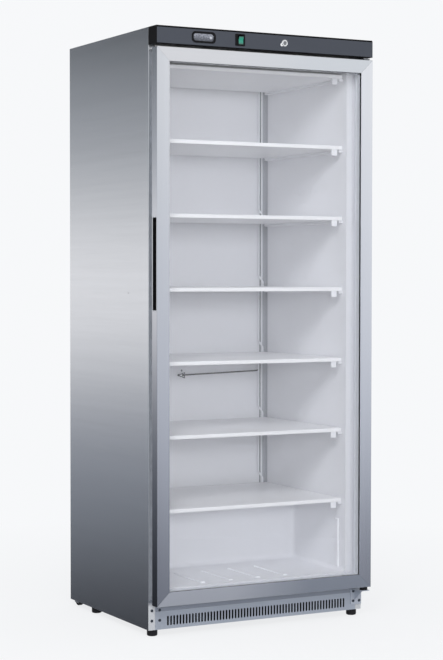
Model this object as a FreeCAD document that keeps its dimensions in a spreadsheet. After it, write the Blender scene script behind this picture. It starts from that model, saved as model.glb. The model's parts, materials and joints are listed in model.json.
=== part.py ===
import FreeCAD, Part
import math
import os
import re
import Sketcher

# Upright display freezer with one glass door, in millimetres.
# +Z is up and the door faces -Y. The origin is the middle of the floor area it covers.

# Driving dimensions.
SIZES = {
    # whole cabinet
    "overall_width": 777,
    "overall_depth": 695,        # door face to the ends of the wall spacers
    "overall_height": 1880,      # with the feet screwed right in
    "foot_height": 21,           # air under the cabinet
    "door_zone": 60,             # door face to the front plane of the cabinet
    "wall_standoff": 25,         # back of the side panels to the ends of the wall spacers
    "steel_gauge": 1,
    "pan_gauge": 1.5,
    "bend_radius": 1.6,
    "flange_width": 22.5,        # front return of each side panel
    "rear_flange": 18,
    "fit_gap": 0.3,              # between parts that lie side by side
    # insulated chamber
    "side_wall": 63.5,
    "back_wall": 72.5,
    "ceiling_wall": 90,
    "floor_height": 148,
    "floor_wall": 62,
    "liner_gauge": 2,
    "corner_radius": 14,
    "hump_depth": 205,           # raised floor over the compressor
    "hump_rise": 202,
    "hump_wall": 60,
    "rib_count": 4,
    "rib_pitch": 100,
    "rib_width": 14,
    "rib_rise": 4,
    "rib_length": 195,
    "rib_front_offset": 38,
    # kick panel
    "kick_top": 78,
    "slot_count": 60,
    "slot_inset": 66.95,         # middle of the last slot in from the side
    "slot_width": 6,
    "slot_low": 31.5,
    "slot_high": 61.5,
    "window_margin": 3,
    # door
    "door_bottom": 103,
    "fascia_height": 55,
    "fascia_gap": 9,
    "rail_face": 43,
    "door_thickness": 35,
    "rail_gauge": 2,
    "chamber_width": 35,         # closed hollow of the frame section
    "rail_edge": 1.2,
    "mitre_gap": 0.3,
    "seal_thickness": 8,         # between the frame's lip and the glass
    "pane": 4,
    "pane_gap": 16,
    "pane_clearance": 0.5,
    "inner_frame_depth": 6,
    "inner_frame_inset": 8,
    "gasket_inset": 14.5,
    "gasket_top_inset": 6,
    "gasket_width": 17,
    # handle
    "handle_low": 1010,
    "handle_length": 289,
    "handle_width": 26,
    "handle_setback": 4,
    "handle_depth": 16,
    "handle_wall": 2,
    # hinges
    "hinge_inset": 14.5,
    "hinge_setback": 22,
    "pin_radius": 4,
    "pin_clearance": 0.05,
    "pin_reach": 16,             # pin inside the door
    "bush_radius": 7,
    "bush_flange": 13,
    "bracket_gauge": 2.5,
    "bracket_width": 41,
    "bracket_low": 38,
    "bracket_top": 91,
    "bracket_reach": 52,
    "gusset_gauge": 3,
    "gusset_height": 38,
    "washer_height": 5.9,
    "top_bush_flange": 2.7,
    "top_bracket_rise": 40,
    # fascia and controls
    "fascia_wall": 3,
    "fascia_bevel": 7,
    "rocker_stand": 6,
    "control_drop": 29,          # top of the fascia down to the middle of its controls
    "thermostat_centre": -228.5,
    "thermostat_width": 83,
    "thermostat_height": 35,
    "thermostat_corner": 13,
    "thermostat_rim": 6,
    "thermostat_stand": 1.5,
    "thermostat_depth": 30,
    "thermostat_recess": 4,
    "key_centre": -203,
    "key_radius": 4.5,
    "key_clearance": 0.1,
    "key_stand": 2,
    "key_travel": 0.8,
    "switch_centre": -101.5,
    "switch_width": 34,
    "switch_height": 37,
    "switch_stand": 1.5,
    "switch_depth": 24,
    "rocker_offset": 2,
    "rocker_width": 19,
    "rocker_height": 29,
    "rocker_clearance": 0.4,
    "rocker_pivot": 9,
    "rocker_tilt": 7,            # to each side of level
    "rocker_dip": 1.8,
    "rocker_axle": 1.5,
    "lens_gauge": 1.2,
    "lens_rim": 1.5,
    "lock_centre": 59,
    "lock_radius": 10,
    "lock_stand": 2,
    "lock_depth": 22,
    "ear_radius": 5,
    "plug_radius": 6,
    "plug_clearance": 0.05,
    "keyway_width": 1.6,
    "keyway_height": 8,
    "cam_length": 46,
    "cam_half_width": 6,
    "cam_gauge": 2.5,
    "cam_room": 1.5,
    # shelves
    "shelf_count": 7,
    "shelf_headroom": 30,        # underside of the highest shelf below the ceiling
    "shelf_floor_room": 230,     # underside of the lowest shelf above the floor
    "shelf_height": 12,
    "shelf_gauge": 2,
    "shelf_underside": 1,        # lower sheet of each shelf
    "shelf_side_gap": 7,
    "shelf_setback": 15,         # shelf edge behind the front plane
    "shelf_back_gap": 21,
    "shelf_edge": 1.5,
    "groove_setback": 16,
    "groove_width": 1.6,
    "groove_depth": 0.6,
    "ledge_width": 14,
    "ledge_height": 9,
    "bead_setback": 50,
    "bead_width": 20,
    "bead_rise": 4,
    "bead_floor_room": 12,
    "bead_headroom": 59,
    "clip_inset": 19,
    "clip_width": 19,
    "clip_height": 20,
    "clip_depth": 8,
    # refrigerant tubes
    "coil_radius": 3.4,
    "coil_margin": 28,
    "inlet_gap": 17,
    "outlet_gap": 33,
    "coil_bend": 26,
    "coil_runs": 6,
    "riser_radius": 3,
    "riser_bend": 9,
    "link_setback": 15,
    "feed_setback": 6,
    "sensor_shelf": 5,           # the sensor hangs under this shelf, from the top
    "sensor_drop": 63,
    "sensor_exit_gap": 25,
    "sensor_rise": 9,
    "sensor_cable_radius": 2.2,
    # feet and rollers
    "foot_inset": 23.5,
    "foot_setback": 23,
    "rear_foot_setback": 166,
    "foot_radius": 16.5,
    "foot_edge": 4,
    "stem_radius": 5,
    "stem_length": 34,
    "nut_height": 9,
    "nut_radius": 9,
    "roller_radius": 20,
    "roller_lift": 1,
    "roller_width": 16,
    "roller_setback": 23,
    "axle_radius": 3,
    "cheek_gauge": 2.5,
    "cheek_half_length": 13,
    # screws
    "screw_head": 4.6,
    "screw_head_height": 2.2,
    "screw_shank": 2,
    "screw_clearance": 0.1,
    "screw_length": 7,
    "screw_rise": 29,            # lower screws above the underside of the cabinet
    "screw_spacing": 32,
    # machine bay
    "compressor_inset": 237.5,
    "compressor_radius": 82,
    "compressor_height": 182,
    "compressor_crown": 46,
    "plate_width": 200,
    "plate_depth": 128,
    "plate_gauge": 3,
    "mount_spacing": 168,
    "mount_depth": 100,
    "mount_height": 15,
    "mount_radius": 12,
    "relay_width": 28,
    "relay_depth": 52,
    "relay_height": 64,
    "drier_drop": 60,
    "drier_radius": 10,
    "drier_end": 55,
    "drier_length": 133,
    "feed_drop": 25,
    "condenser_inset": 42.5,
    "condenser_width": 200,
    "condenser_height": 220,
    "condenser_depth": 45,
    "condenser_setback": 12,
    "fin_pitch": 6,
    "fin_gauge": 1,
    "fan_radius": 78,
    "fan_blades": 5,
    "fan_hub": 20,
    "blade_width": 36,
    "blade_gauge": 1.6,
    "blade_pitch": 62,
    "fan_height": 142,
    "fan_tip_gap": 4,
    "shaft_radius": 3,
    "motor_radius": 24,
    "motor_setback": 30,
    "arm_width": 10,
    "box_inset": 50,
    "box_width": 84,
    "box_depth": 40,
    "box_height": 74,
    "inlet_width": 28,
    "inlet_height": 22,
    "spacer_height": 1620,
    "spacer_radius": 22,
    "spacer_inset": 60,
}

# Places that follow from them.
PLACES = {
    "side": "overall_width / 2",
    "face": "rocker_stand - (overall_depth + rocker_stand) / 2",
    "front": "face + door_zone",
    "rear": "face + overall_depth",
    "back": "rear - wall_standoff",
    "inside": "side - steel_gauge",
    "frame_side": "side - flange_width",
    "behind": "front + steel_gauge",
    "foam_back": "back - 2 * steel_gauge",
    "foam_top": "overall_height - steel_gauge",
    "chamber_side": "side - side_wall",
    "chamber_back": "back - back_wall",
    "chamber_top": "overall_height - ceiling_wall",
    "hump_front": "chamber_back - hump_depth",
    "hump_top": "floor_height + hump_rise",
    "bay_floor": "floor_height - floor_wall",
    "bay_front": "hump_front + hump_wall",
    "bay_top": "hump_top - hump_wall",
    "pan_top": "foot_height + pan_gauge",
    "slot_side": "side - slot_inset",
    "slot_pitch": "2 * slot_side / (slot_count - 1)",
    "fascia_low": "overall_height - fascia_height",
    "door_top": "fascia_low - fascia_gap",
    "door_back": "face + door_thickness",
    "rebate": "side - chamber_width",
    "glass_front": "face + rail_gauge + seal_thickness",
    "gap_front": "glass_front + pane",
    "gap_back": "gap_front + pane_gap",
    "glass_back": "gap_back + pane",
    "inner_frame_back": "door_back + inner_frame_depth",
    "hinge_x": "side - hinge_inset",
    "hinge_y": "face + hinge_setback",
    "shelf_half_width": "chamber_side - shelf_side_gap",
    "shelf_front": "front + shelf_setback",
    "shelf_back": "chamber_back - shelf_back_gap",
    "shelf_top": "chamber_top - shelf_headroom",
    "shelf_pitch": "(shelf_top - floor_height - shelf_floor_room) / (shelf_count - 1)",
    "sensor_height": "shelf_top - shelf_pitch * (sensor_shelf - 1) - sensor_drop",
    "sensor_exit": "chamber_side - sensor_exit_gap",
    "coil_inlet": "chamber_side - inlet_gap",
    "coil_outlet": "chamber_side - outlet_gap",
    "coil_drop": "shelf_height - shelf_gauge - coil_radius - 0.1",
    "link_y": "chamber_back - link_setback",
    "feed_y": "chamber_back - feed_setback",
    "foot_x": "side - foot_inset",
    "roller_y": "back - roller_setback",
    "roller_z": "roller_radius + roller_lift",
    "cheek_inside": "roller_width / 2 + 1",
    "cheek_outside": "cheek_inside + cheek_gauge",
    "cheek_top": "roller_z + roller_radius + 3",
    "screw_low": "foot_height + screw_rise",
    "screw_high": "screw_low + screw_spacing",
    "screw_hole": "screw_shank + screw_clearance",
    "compressor_x": "inside - compressor_inset",
    "compressor_y": "(bay_front + back) / 2",
    "compressor_low": "pan_top + mount_height",
    "condenser_left": "-(inside - condenser_inset)",
    "condenser_right": "condenser_left + condenser_width",
    "condenser_front": "bay_front + condenser_setback",
    "condenser_back": "condenser_front + condenser_depth",
    "condenser_middle": "condenser_front + condenser_depth / 2",
    "drier_z": "bay_top - drier_drop",
    "suction_z": "compressor_low + compressor_height * 0.8",
    "discharge_z": "compressor_low + compressor_height * 0.44",
    "fan_x": "condenser_left + condenser_width / 2",
    "motor_front": "condenser_back + motor_setback",
    "box_x": "inside - box_inset - box_width / 2",
    "box_back": "back - steel_gauge - 4",
    "inlet_z": "pan_top + box_height / 2",
    "control_height": "overall_height - control_drop",
    "rocker_x": "switch_centre + rocker_offset",
    "rocker_y": "face + rocker_pivot",
    "rocker_half": "rocker_height / 2 - 1",
    "rocker_reach": "(rocker_pivot + rocker_stand - rocker_half * sin(rocker_tilt * 1 deg))"
                    " / cos(rocker_tilt * 1 deg)",
    "cam_front": "face + lock_depth",
}

doc = FreeCAD.newDocument("upright_freezer")
nodes = {}


def make_sheet(name, entries, prefix):
    sheet = doc.addObject("Spreadsheet::Sheet", name)
    for row, (alias, content) in enumerate(entries.items(), 1):
        sheet.set(f"A{row}", alias)
        sheet.set(f"B{row}", prefix + bound(str(content)))
        sheet.setAlias(f"B{row}", alias)
    return sheet


def bound(text):
    """Names in an expression become references to the two sheets."""
    def refer(found):
        name = found.group()
        owner = "Sizes." if name in SIZES else "Places." if name in PLACES else ""
        return owner + name
    return re.sub(r"[a-z][a-z_]*", refer, text)


make_sheet("Sizes", SIZES, "")
places = make_sheet("Places", PLACES, "=")
doc.recompute()


def value(text):
    return float(places.evalExpression(bound(text)))


def place(item, spot):
    """Ties an object's position to three expressions."""
    for axis, text in zip("xyz", spot):
        item.setExpression("Placement.Base." + axis, bound(text))
    return item


def node(name, item):
    """A finished sub-part: its label names its file."""
    item.Label = name
    nodes[name] = item
    return item


def centred(middle, size):
    """The low side and the high side of a span about a middle."""
    return (f"{middle} - ({size}) / 2", f"{middle} + ({size}) / 2")


# Plain solids.

def block(name, x, y, z):
    """A box; x, y and z each give the low side and the high side."""
    item = doc.addObject("Part::Box", name)
    for (low, high), side in zip((x, y, z), ("Length", "Width", "Height")):
        item.setExpression(side, bound(f"({high}) - ({low})"))
    return place(item, (x[0], y[0], z[0]))


TURNS = {
    "x": FreeCAD.Rotation(FreeCAD.Vector(0, 1, 0), 90),
    "y": FreeCAD.Rotation(FreeCAD.Vector(1, 0, 0), -90),
    "z": FreeCAD.Rotation(),
}
FACING_OUT = FreeCAD.Rotation(FreeCAD.Vector(1, 0, 0), 90)


def rod(name, axis, spot, radius, length):
    """A cylinder that starts at spot and runs along an axis."""
    item = doc.addObject("Part::Cylinder", name)
    item.Placement = FreeCAD.Placement(FreeCAD.Vector(), TURNS[axis])
    item.setExpression("Radius", bound(radius))
    item.setExpression("Height", bound(length))
    return place(item, spot)


def fuse(name, *items):
    item = doc.addObject("Part::MultiFuse", name)
    item.Shapes = list(items)
    item.Refine = True
    return item


def cut(name, base, *tools):
    item = doc.addObject("Part::Cut", name)
    item.Base = base
    item.Tool = tools[0] if len(tools) == 1 else fuse(name + "_tools", *tools)
    return item


def common(name, *items):
    item = doc.addObject("Part::MultiCommon", name)
    item.Shapes = list(items)
    return item


def group(name, items):
    """Identical small pieces that share a node as separate solids."""
    item = doc.addObject("Part::Compound", name)
    item.Links = list(items)
    return item


def rounded(name, base, radius, choose):
    """Rounds the edges that choose picks by their middle and direction."""
    doc.recompute()
    item = doc.addObject("Part::Fillet", name)
    item.Base = base
    size = value(radius)
    picked = []
    for number, edge in enumerate(base.Shape.Edges, 1):
        if isinstance(edge.Curve, Part.Line) and choose(edge.CenterOfMass, edge.Curve.Direction):
            picked.append((number, size, size))
    item.Edges = picked
    return item


def mirrored(name, base):
    """The same piece on the other side of the cabinet."""
    item = doc.addObject("Part::Mirroring", name)
    item.Source = base
    item.Normal = (1, 0, 0)
    return item


def near(number, text):
    return abs(number - value(text)) < 0.05


# Sketched solids.

def sketch_on(owner, plane, level):
    """A sketch parallel to an origin plane of its own body."""
    support = next(item for item in owner.Origin.OriginFeatures if item.Role == plane)
    sketch = owner.newObject("Sketcher::SketchObject", owner.Name + "_sketch")
    sketch.AttachmentSupport = [(support, "")]
    sketch.MapMode = "FlatFace"
    sketch.setExpression("AttachmentOffset.Base.z", bound(level))
    return sketch


def hold(sketch, kind, geometry, point, text):
    """A driving constraint from the sketch's origin to a point."""
    number = sketch.addConstraint(Sketcher.Constraint(kind, -1, 1, geometry, point, value(text)))
    sketch.setExpression(f"Constraints[{number}]", bound(text))


def outline(sketch, points):
    """A closed outline of straight lines through the given corners."""
    first = sketch.GeometryCount
    corners = [FreeCAD.Vector(value(across), value(up), 0) for across, up in points]
    for start, end in zip(corners, corners[1:] + corners[:1]):
        sketch.addGeometry(Part.LineSegment(start, end), False)
    for number, (across, up) in enumerate(points):
        line = first + number
        following = first + (number + 1) % len(points)
        sketch.addConstraint(Sketcher.Constraint("Coincident", line, 2, following, 1))
        hold(sketch, "DistanceX", line, 1, across)
        hold(sketch, "DistanceY", line, 1, up)


def slot(sketch, across, low, high, radius):
    """An upright slot with round ends, between two arc centres."""
    first = sketch.GeometryCount
    x, bottom, top, size = value(across), value(low), value(high), value(radius)
    normal = FreeCAD.Vector(0, 0, 1)
    upper = Part.Circle(FreeCAD.Vector(x, top, 0), normal, size)
    lower = Part.Circle(FreeCAD.Vector(x, bottom, 0), normal, size)
    sketch.addGeometry(Part.ArcOfCircle(upper, 0, math.pi), False)
    sketch.addGeometry(Part.ArcOfCircle(lower, math.pi, 2 * math.pi), False)
    for edge, start, end in ((x - size, top, bottom), (x + size, bottom, top)):
        sketch.addGeometry(
            Part.LineSegment(FreeCAD.Vector(edge, start, 0), FreeCAD.Vector(edge, end, 0)), False)
    for one, one_end, other in ((0, 2, 2), (2, 2, 1), (1, 2, 3), (3, 2, 0)):
        sketch.addConstraint(
            Sketcher.Constraint("Tangent", first + one, one_end, first + other, 1))
    number = sketch.addConstraint(Sketcher.Constraint("Radius", first, size))
    sketch.setExpression(f"Constraints[{number}]", bound(radius))
    for arc, text in ((first, high), (first + 1, low)):
        hold(sketch, "DistanceX", arc, 3, across)
        hold(sketch, "DistanceY", arc, 3, text)


def prism(name, plane, points, low, high):
    """A body with one outline on an origin plane, padded from low to high."""
    owner = doc.addObject("PartDesign::Body", name)
    sketch = sketch_on(owner, plane, f"-({high})" if plane == "XZ_Plane" else low)
    outline(sketch, points)
    pad = owner.newObject("PartDesign::Pad", name + "_pad")
    pad.Profile = sketch
    pad.setExpression("Length", bound(f"({high}) - ({low})"))
    owner.Tip = pad
    return owner


def turned(name, profile, spot, rotation=FreeCAD.Rotation()):
    """A body of revolution; the profile's corners are radius and height."""
    owner = doc.addObject("PartDesign::Body", name)
    sketch = sketch_on(owner, "XZ_Plane", "0")
    outline(sketch, profile)
    turn = owner.newObject("PartDesign::Revolution", name + "_turn")
    turn.Profile = sketch
    turn.ReferenceAxis = (sketch, ["V_Axis"])
    turn.Angle = 360
    owner.Tip = turn
    owner.Placement = FreeCAD.Placement(FreeCAD.Vector(), rotation)
    return place(owner, spot)


def ring(name, outer, inner, y):
    """A rectangular ring in an upright plane; outer and inner are (x, low z, high z)."""
    (x_out, low_out, high_out), (x_in, low_in, high_in) = outer, inner
    return cut(
        name,
        block(name + "_outer", (f"-({x_out})", x_out), y, (low_out, high_out)),
        block(name + "_inner", (f"-({x_in})", x_in), (f"{y[0]} - 1", f"{y[1]} + 1"),
              (low_in, high_in)))


def pipe(name, route, radius, bends):
    """A round tube along straight runs joined by tangent arcs: one bend for all, or one each."""
    points = [FreeCAD.Vector(*(value(text) for text in point)) for point in route]
    if isinstance(bends, str):
        bends = [bends] * (len(points) - 2)
    edges = []
    start = points[0]
    for before, corner, after, bend in zip(points, points[1:], points[2:], bends):
        size = value(bend)
        back = (before - corner).normalize()
        ahead = (after - corner).normalize()
        half = back.getAngle(ahead) / 2
        reach = size / math.tan(half)
        middle = corner + (back + ahead).normalize() * (size / math.sin(half) - size)
        edges.append(Part.LineSegment(start, corner + back * reach).toShape())
        edges.append(Part.Arc(corner + back * reach, middle, corner + ahead * reach).toShape())
        start = corner + ahead * reach
    edges.append(Part.LineSegment(start, points[-1]).toShape())
    section = Part.Wire(Part.Circle(points[0], points[1] - points[0], value(radius)).toShape())
    item = doc.addObject("Part::Feature", name)
    item.Shape = Part.Wire(edges).makePipeShell([section], True, True)
    return item


# Outer shell.

def make_shell():
    panel = prism("side_panel_sheet", "XY_Plane", [
        ("-side", "front"),
        ("-frame_side", "front"),
        ("-frame_side", "front + steel_gauge"),
        ("-inside", "front + steel_gauge"),
        ("-inside", "back - steel_gauge"),
        ("-side + rear_flange", "back - steel_gauge"),
        ("-side + rear_flange", "back"),
        ("-side", "back"),
    ], "foot_height", "overall_height")
    bent = rounded(
        "side_panel_bent", panel, "bend_radius",
        lambda middle, along: abs(along.z) > 0.9 and near(middle.x, "-side"))
    node("side_panel_left", cut("side_panel_left", bent, *screw_holes("left_hole", STRIP_SCREWS)))
    node("side_panel_right", cut(
        "side_panel_right", mirrored("side_panel_other", bent),
        *screw_holes("right_hole", BRACKET_SCREWS[2:])))
    node("top_panel", block(
        "top_panel", ("-inside", "inside"), ("behind", "back - steel_gauge"),
        ("foam_top", "overall_height")))
    node("back_panel", block(
        "back_panel", ("-inside", "inside"), ("foam_back", "back - steel_gauge"),
        ("bay_top", "foam_top")))
    sheet = prism("bay_sheet", "YZ_Plane", [
        ("behind", "bay_floor"),
        ("bay_front", "bay_floor"),
        ("bay_front", "bay_top"),
        ("back - steel_gauge", "bay_top"),
        ("back - steel_gauge", "bay_top - steel_gauge"),
        ("bay_front + steel_gauge", "bay_top - steel_gauge"),
        ("bay_front + steel_gauge", "bay_floor - steel_gauge"),
        ("behind", "bay_floor - steel_gauge"),
    ], "-inside", "inside")
    node("bay_panel", cut("bay_panel", sheet, *pipe_passages("bay_hole")))


# Screws low on the front: across and up for each, and the holes that take them.

STRIP_SCREWS = [("-frame_side - 11", "screw_low"), ("-frame_side - 11", "screw_high")]
PANEL_SCREWS = [("-frame_side + 16", "screw_low"), ("-frame_side + 16", "screw_high")]
BRACKET_SCREWS = [
    ("frame_side - 9", "screw_low"), ("frame_side - 9", "screw_high"), ("frame_side + 14", "screw_low")]


def screw_holes(name, spots):
    return [
        rod(f"{name}_{number}", "y", (across, "front - bracket_gauge - 1", up), "screw_hole",
            "bracket_gauge + steel_gauge + pan_gauge + 2")
        for number, (across, up) in enumerate(spots)]


def screw(name, spot, seat):
    """A pan head screw with a crossed recess, driven towards +Y."""
    across, up = spot
    body = turned(name + "_body", [
        ("0", "-screw_length"),
        ("screw_shank", "-screw_length"),
        ("screw_shank", "0"),
        ("screw_head", "0"),
        ("screw_head", "screw_head_height * 0.4"),
        ("screw_head * 0.75", "screw_head_height"),
        ("0", "screw_head_height"),
    ], (across, seat, up), FACING_OUT)
    sizes = (("screw_head * 1.1", "screw_head / 5"), ("screw_head / 5", "screw_head * 1.1"))
    arms = [
        block(f"{name}_arm_{number}", centred(across, wide),
              (f"{seat} - screw_head_height - 1", f"{seat} - screw_head_height / 2"),
              centred(up, tall))
        for number, (wide, tall) in enumerate(sizes)]
    return cut(name, body, *arms)


def make_screws():
    pieces = [
        screw(f"panel_screw_{number}", spot, "front")
        for number, spot in enumerate(STRIP_SCREWS + PANEL_SCREWS)]
    pieces += [
        screw(f"bracket_screw_{number}", spot, "front - bracket_gauge")
        for number, spot in enumerate(BRACKET_SCREWS)]
    node("front_screws", group("front_screws", pieces))


# Insulated chamber.

def pipe_passages(name):
    """Holes for the two tubes that drop through the raised floor."""
    reach = ("bay_top - steel_gauge - 2", "hump_wall + corner_radius + steel_gauge + 6")
    spots = (("feed", "coil_inlet", "feed_y"), ("suction", "coil_outlet", "link_y"))
    return [
        rod(f"{name}_{tube}", "z", (x, y, reach[0]), "riser_radius + fit_gap", reach[1])
        for tube, x, y in spots]


def chamber(name, grow, front, radius):
    """The space inside the liner, grown by a wall."""
    space = prism(name + "_space", "YZ_Plane", [
        (front, f"floor_height - {grow}"),
        (f"hump_front + {grow}", f"floor_height - {grow}"),
        (f"hump_front + {grow}", f"hump_top - {grow}"),
        (f"chamber_back + {grow}", f"hump_top - {grow}"),
        (f"chamber_back + {grow}", f"chamber_top + {grow}"),
        (front, f"chamber_top + {grow}"),
    ], f"-chamber_side - {grow}", f"chamber_side + {grow}")
    return rounded(
        name, space, radius, lambda middle, along: not near(middle.y, front))


def make_chamber():
    outside = chamber("liner_outside", "liner_gauge", "behind", "corner_radius + liner_gauge")
    inside = chamber("liner_inside", "0", "front - 5", "corner_radius")
    shell = cut("liner_shell", outside, inside)
    ribs = []
    for number in range(round(value("rib_count"))):
        middle = f"rib_pitch * ({number} - (rib_count - 1) / 2) - 30"
        bar = block(
            f"floor_rib_{number}", (f"{middle} - rib_width / 2", f"{middle} + rib_width / 2"),
            ("front + rib_front_offset", "front + rib_front_offset + rib_length"),
            ("floor_height - 1", "floor_height + rib_rise"))
        ribs.append(rounded(
            f"floor_rib_round_{number}", bar, "rib_rise * 0.8",
            lambda centre, along: near(centre.z, "floor_height + rib_rise")))
    bars = []
    for side, sign in (("left", "-"), ("right", "")):
        bars += [shelf_ledge(number, side, sign) for number in range(round(value("shelf_count")))]
        bars.append(wall_bead(side, sign))
    moulded = fuse("liner_moulded", shell, *ribs, *bars)
    node("inner_liner", cut("inner_liner", moulded, *pipe_passages("liner_hole")))

    filled = prism("foam_block", "YZ_Plane", [
        ("behind", "bay_floor"),
        ("bay_front", "bay_floor"),
        ("bay_front", "bay_top"),
        ("foam_back", "bay_top"),
        ("foam_back", "foam_top"),
        ("behind", "foam_top"),
    ], "-inside", "inside")
    mould = chamber("foam_mould", "liner_gauge", "behind - 5", "corner_radius + liner_gauge")
    node("insulation_foam", cut("insulation_foam", filled, mould, *pipe_passages("foam_hole")))

    sheet = block(
        "front_frame_sheet", ("-frame_side", "frame_side"), ("front", "behind"),
        ("kick_top", "overall_height"))
    window = block(
        "front_frame_window", ("-chamber_side", "chamber_side"), ("front - 1", "behind + 1"),
        ("floor_height", "chamber_top"))
    soft_window = rounded(
        "front_frame_opening", window, "corner_radius", lambda middle, along: abs(along.y) > 0.9)
    node("front_frame", cut(
        "front_frame", sheet, soft_window,
        *screw_holes("frame_hole", [PANEL_SCREWS[1], BRACKET_SCREWS[1]])))


# Base.

def foot_spots():
    """The four feet: their names and where they stand."""
    front_y = "front + foot_setback"
    rear_y = "back - rear_foot_setback"
    return [
        ("front_left", "-foot_x", front_y), ("front_right", "foot_x", front_y),
        ("rear_left", "-foot_x", rear_y), ("rear_right", "foot_x", rear_y)]


def make_base():
    plate = block(
        "base_plate", ("-inside + fit_gap", "inside - fit_gap"), ("behind", "back - steel_gauge - fit_gap"),
        ("foot_height", "pan_top"))
    upstand = block(
        "base_upstand", ("-inside + fit_gap", "inside - fit_gap"), ("behind", "behind + pan_gauge"),
        ("foot_height", "bay_floor - steel_gauge"))
    lip = block(
        "base_lip", ("-inside + fit_gap", "inside - fit_gap"),
        ("back - steel_gauge - fit_gap - pan_gauge", "back - steel_gauge - fit_gap"),
        ("foot_height", "foot_height + 18"))
    window = block(
        "base_window", ("-slot_side - slot_width", "slot_side + slot_width"),
        ("behind - 1", "behind + pan_gauge + 1"),
        ("slot_low - window_margin", "slot_high + window_margin"))
    holes = [
        rod(f"stem_hole_{name}", "z", (x, y, "foot_height - 1"), "stem_radius + 0.5", "pan_gauge + 2")
        for name, x, y in foot_spots()]
    holes += [
        block(f"roller_window_{name}", centred(x, "2 * cheek_outside + 2 * fit_gap"),
              centred("roller_y", "2 * roller_radius + 6"), ("foot_height - 1", "foot_height + 20"))
        for name, x in ROLLERS]
    holes += screw_holes("pan_hole", STRIP_SCREWS + PANEL_SCREWS + BRACKET_SCREWS)
    tray = cut("base_tray", fuse("base_sheet", plate, upstand, lip), window, *holes)
    node("base_pan", fuse("base_pan", tray, *foot_nuts()))
    make_kick_panel()
    make_feet()
    make_rollers()


def make_kick_panel():
    panel = prism("kick_sheet", "XZ_Plane", [
        ("-frame_side + fit_gap", "foot_height"),
        ("frame_side - fit_gap", "foot_height"),
        ("frame_side - fit_gap", "kick_top - fit_gap"),
        ("-frame_side + fit_gap", "kick_top - fit_gap"),
    ], "front", "behind")
    sketch = sketch_on(panel, "XZ_Plane", "-(front - 1)")
    slot(sketch, "-slot_side", "slot_low + slot_width / 2", "slot_high - slot_width / 2",
         "slot_width / 2")
    pocket = panel.newObject("PartDesign::Pocket", "kick_slot")
    pocket.Profile = sketch
    pocket.setExpression("Length", bound("steel_gauge + 2"))
    pattern = panel.newObject("PartDesign::LinearPattern", "kick_slots")
    pattern.Originals = [pocket]
    pattern.Direction = (sketch, ["H_Axis"])
    pattern.setExpression("Length", bound("slot_pitch * (slot_count - 1)"))
    pattern.setExpression("Occurrences", bound("slot_count"))
    panel.Tip = pattern
    node("kick_grille", cut(
        "kick_grille", panel, *screw_holes("kick_hole", [PANEL_SCREWS[0], BRACKET_SCREWS[0]])))


def foot_nuts():
    """The weld nuts that take the stems of the feet."""
    nuts = []
    for name, x, y in foot_spots():
        hexagon = doc.addObject("Part::Prism", f"foot_nut_{name}_blank")
        hexagon.Polygon = 6
        hexagon.setExpression("Circumradius", bound("nut_radius"))
        hexagon.setExpression("Height", bound("nut_height"))
        bore = rod(f"foot_nut_{name}_bore", "z", (x, y, "pan_top - 1"),
                   "stem_radius + pin_clearance", "nut_height + 2")
        nuts.append(cut("foot_nut_" + name, place(hexagon, (x, y, "pan_top")), bore))
    return nuts


def make_feet():
    for name, x, y in foot_spots():
        node("foot_" + name, turned("foot_" + name, [
            ("0", "0"),
            ("foot_radius - foot_edge", "0"),
            ("foot_radius - foot_edge * 0.3", "foot_edge * 0.3"),
            ("foot_radius", "foot_edge"),
            ("foot_radius", "foot_height"),
            ("stem_radius", "foot_height"),
            ("stem_radius", "foot_height + stem_length"),
            ("0", "foot_height + stem_length"),
        ], (x, y, "0")))


ROLLERS = [("left", "-foot_x"), ("right", "foot_x")]


def make_rollers():
    brackets = []
    for name, x in ROLLERS:
        node("roller_" + name, turned("roller_" + name, [
            ("axle_radius + pin_clearance", "-roller_width / 2"),
            ("roller_radius - 2", "-roller_width / 2"),
            ("roller_radius", "-roller_width / 2 + 2"),
            ("roller_radius", "roller_width / 2 - 2"),
            ("roller_radius - 2", "roller_width / 2"),
            ("axle_radius + pin_clearance", "roller_width / 2"),
        ], (x, "roller_y", "roller_z"), TURNS["x"]))
        y = centred("roller_y", "2 * cheek_half_length")
        parts = [block(
            f"roller_roof_{name}", centred(x, "2 * cheek_outside"), y,
            ("cheek_top - cheek_gauge", "cheek_top"))]
        for number, sign in enumerate(("-", "+")):
            near_side, outside, tip = (
                f"{x} {sign} {reach}" for reach in
                ("cheek_inside", "cheek_outside", "(cheek_outside + 8)"))
            order = slice(None, None, -1) if sign == "-" else slice(None)
            parts.append(block(f"roller_cheek_{name}_{number}", (near_side, outside)[order], y,
                               ("roller_z - 10", "cheek_top")))
            parts.append(block(f"roller_ear_{name}_{number}", (near_side, tip)[order], y,
                               ("pan_top", "pan_top + cheek_gauge")))
        parts.append(rod(
            f"roller_axle_{name}", "x", (f"{x} - cheek_outside", "roller_y", "roller_z"),
            "axle_radius", "2 * cheek_outside"))
        brackets.append(fuse(f"roller_bracket_{name}", *parts))
    node("roller_brackets", group("roller_brackets", brackets))


# Door.

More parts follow.
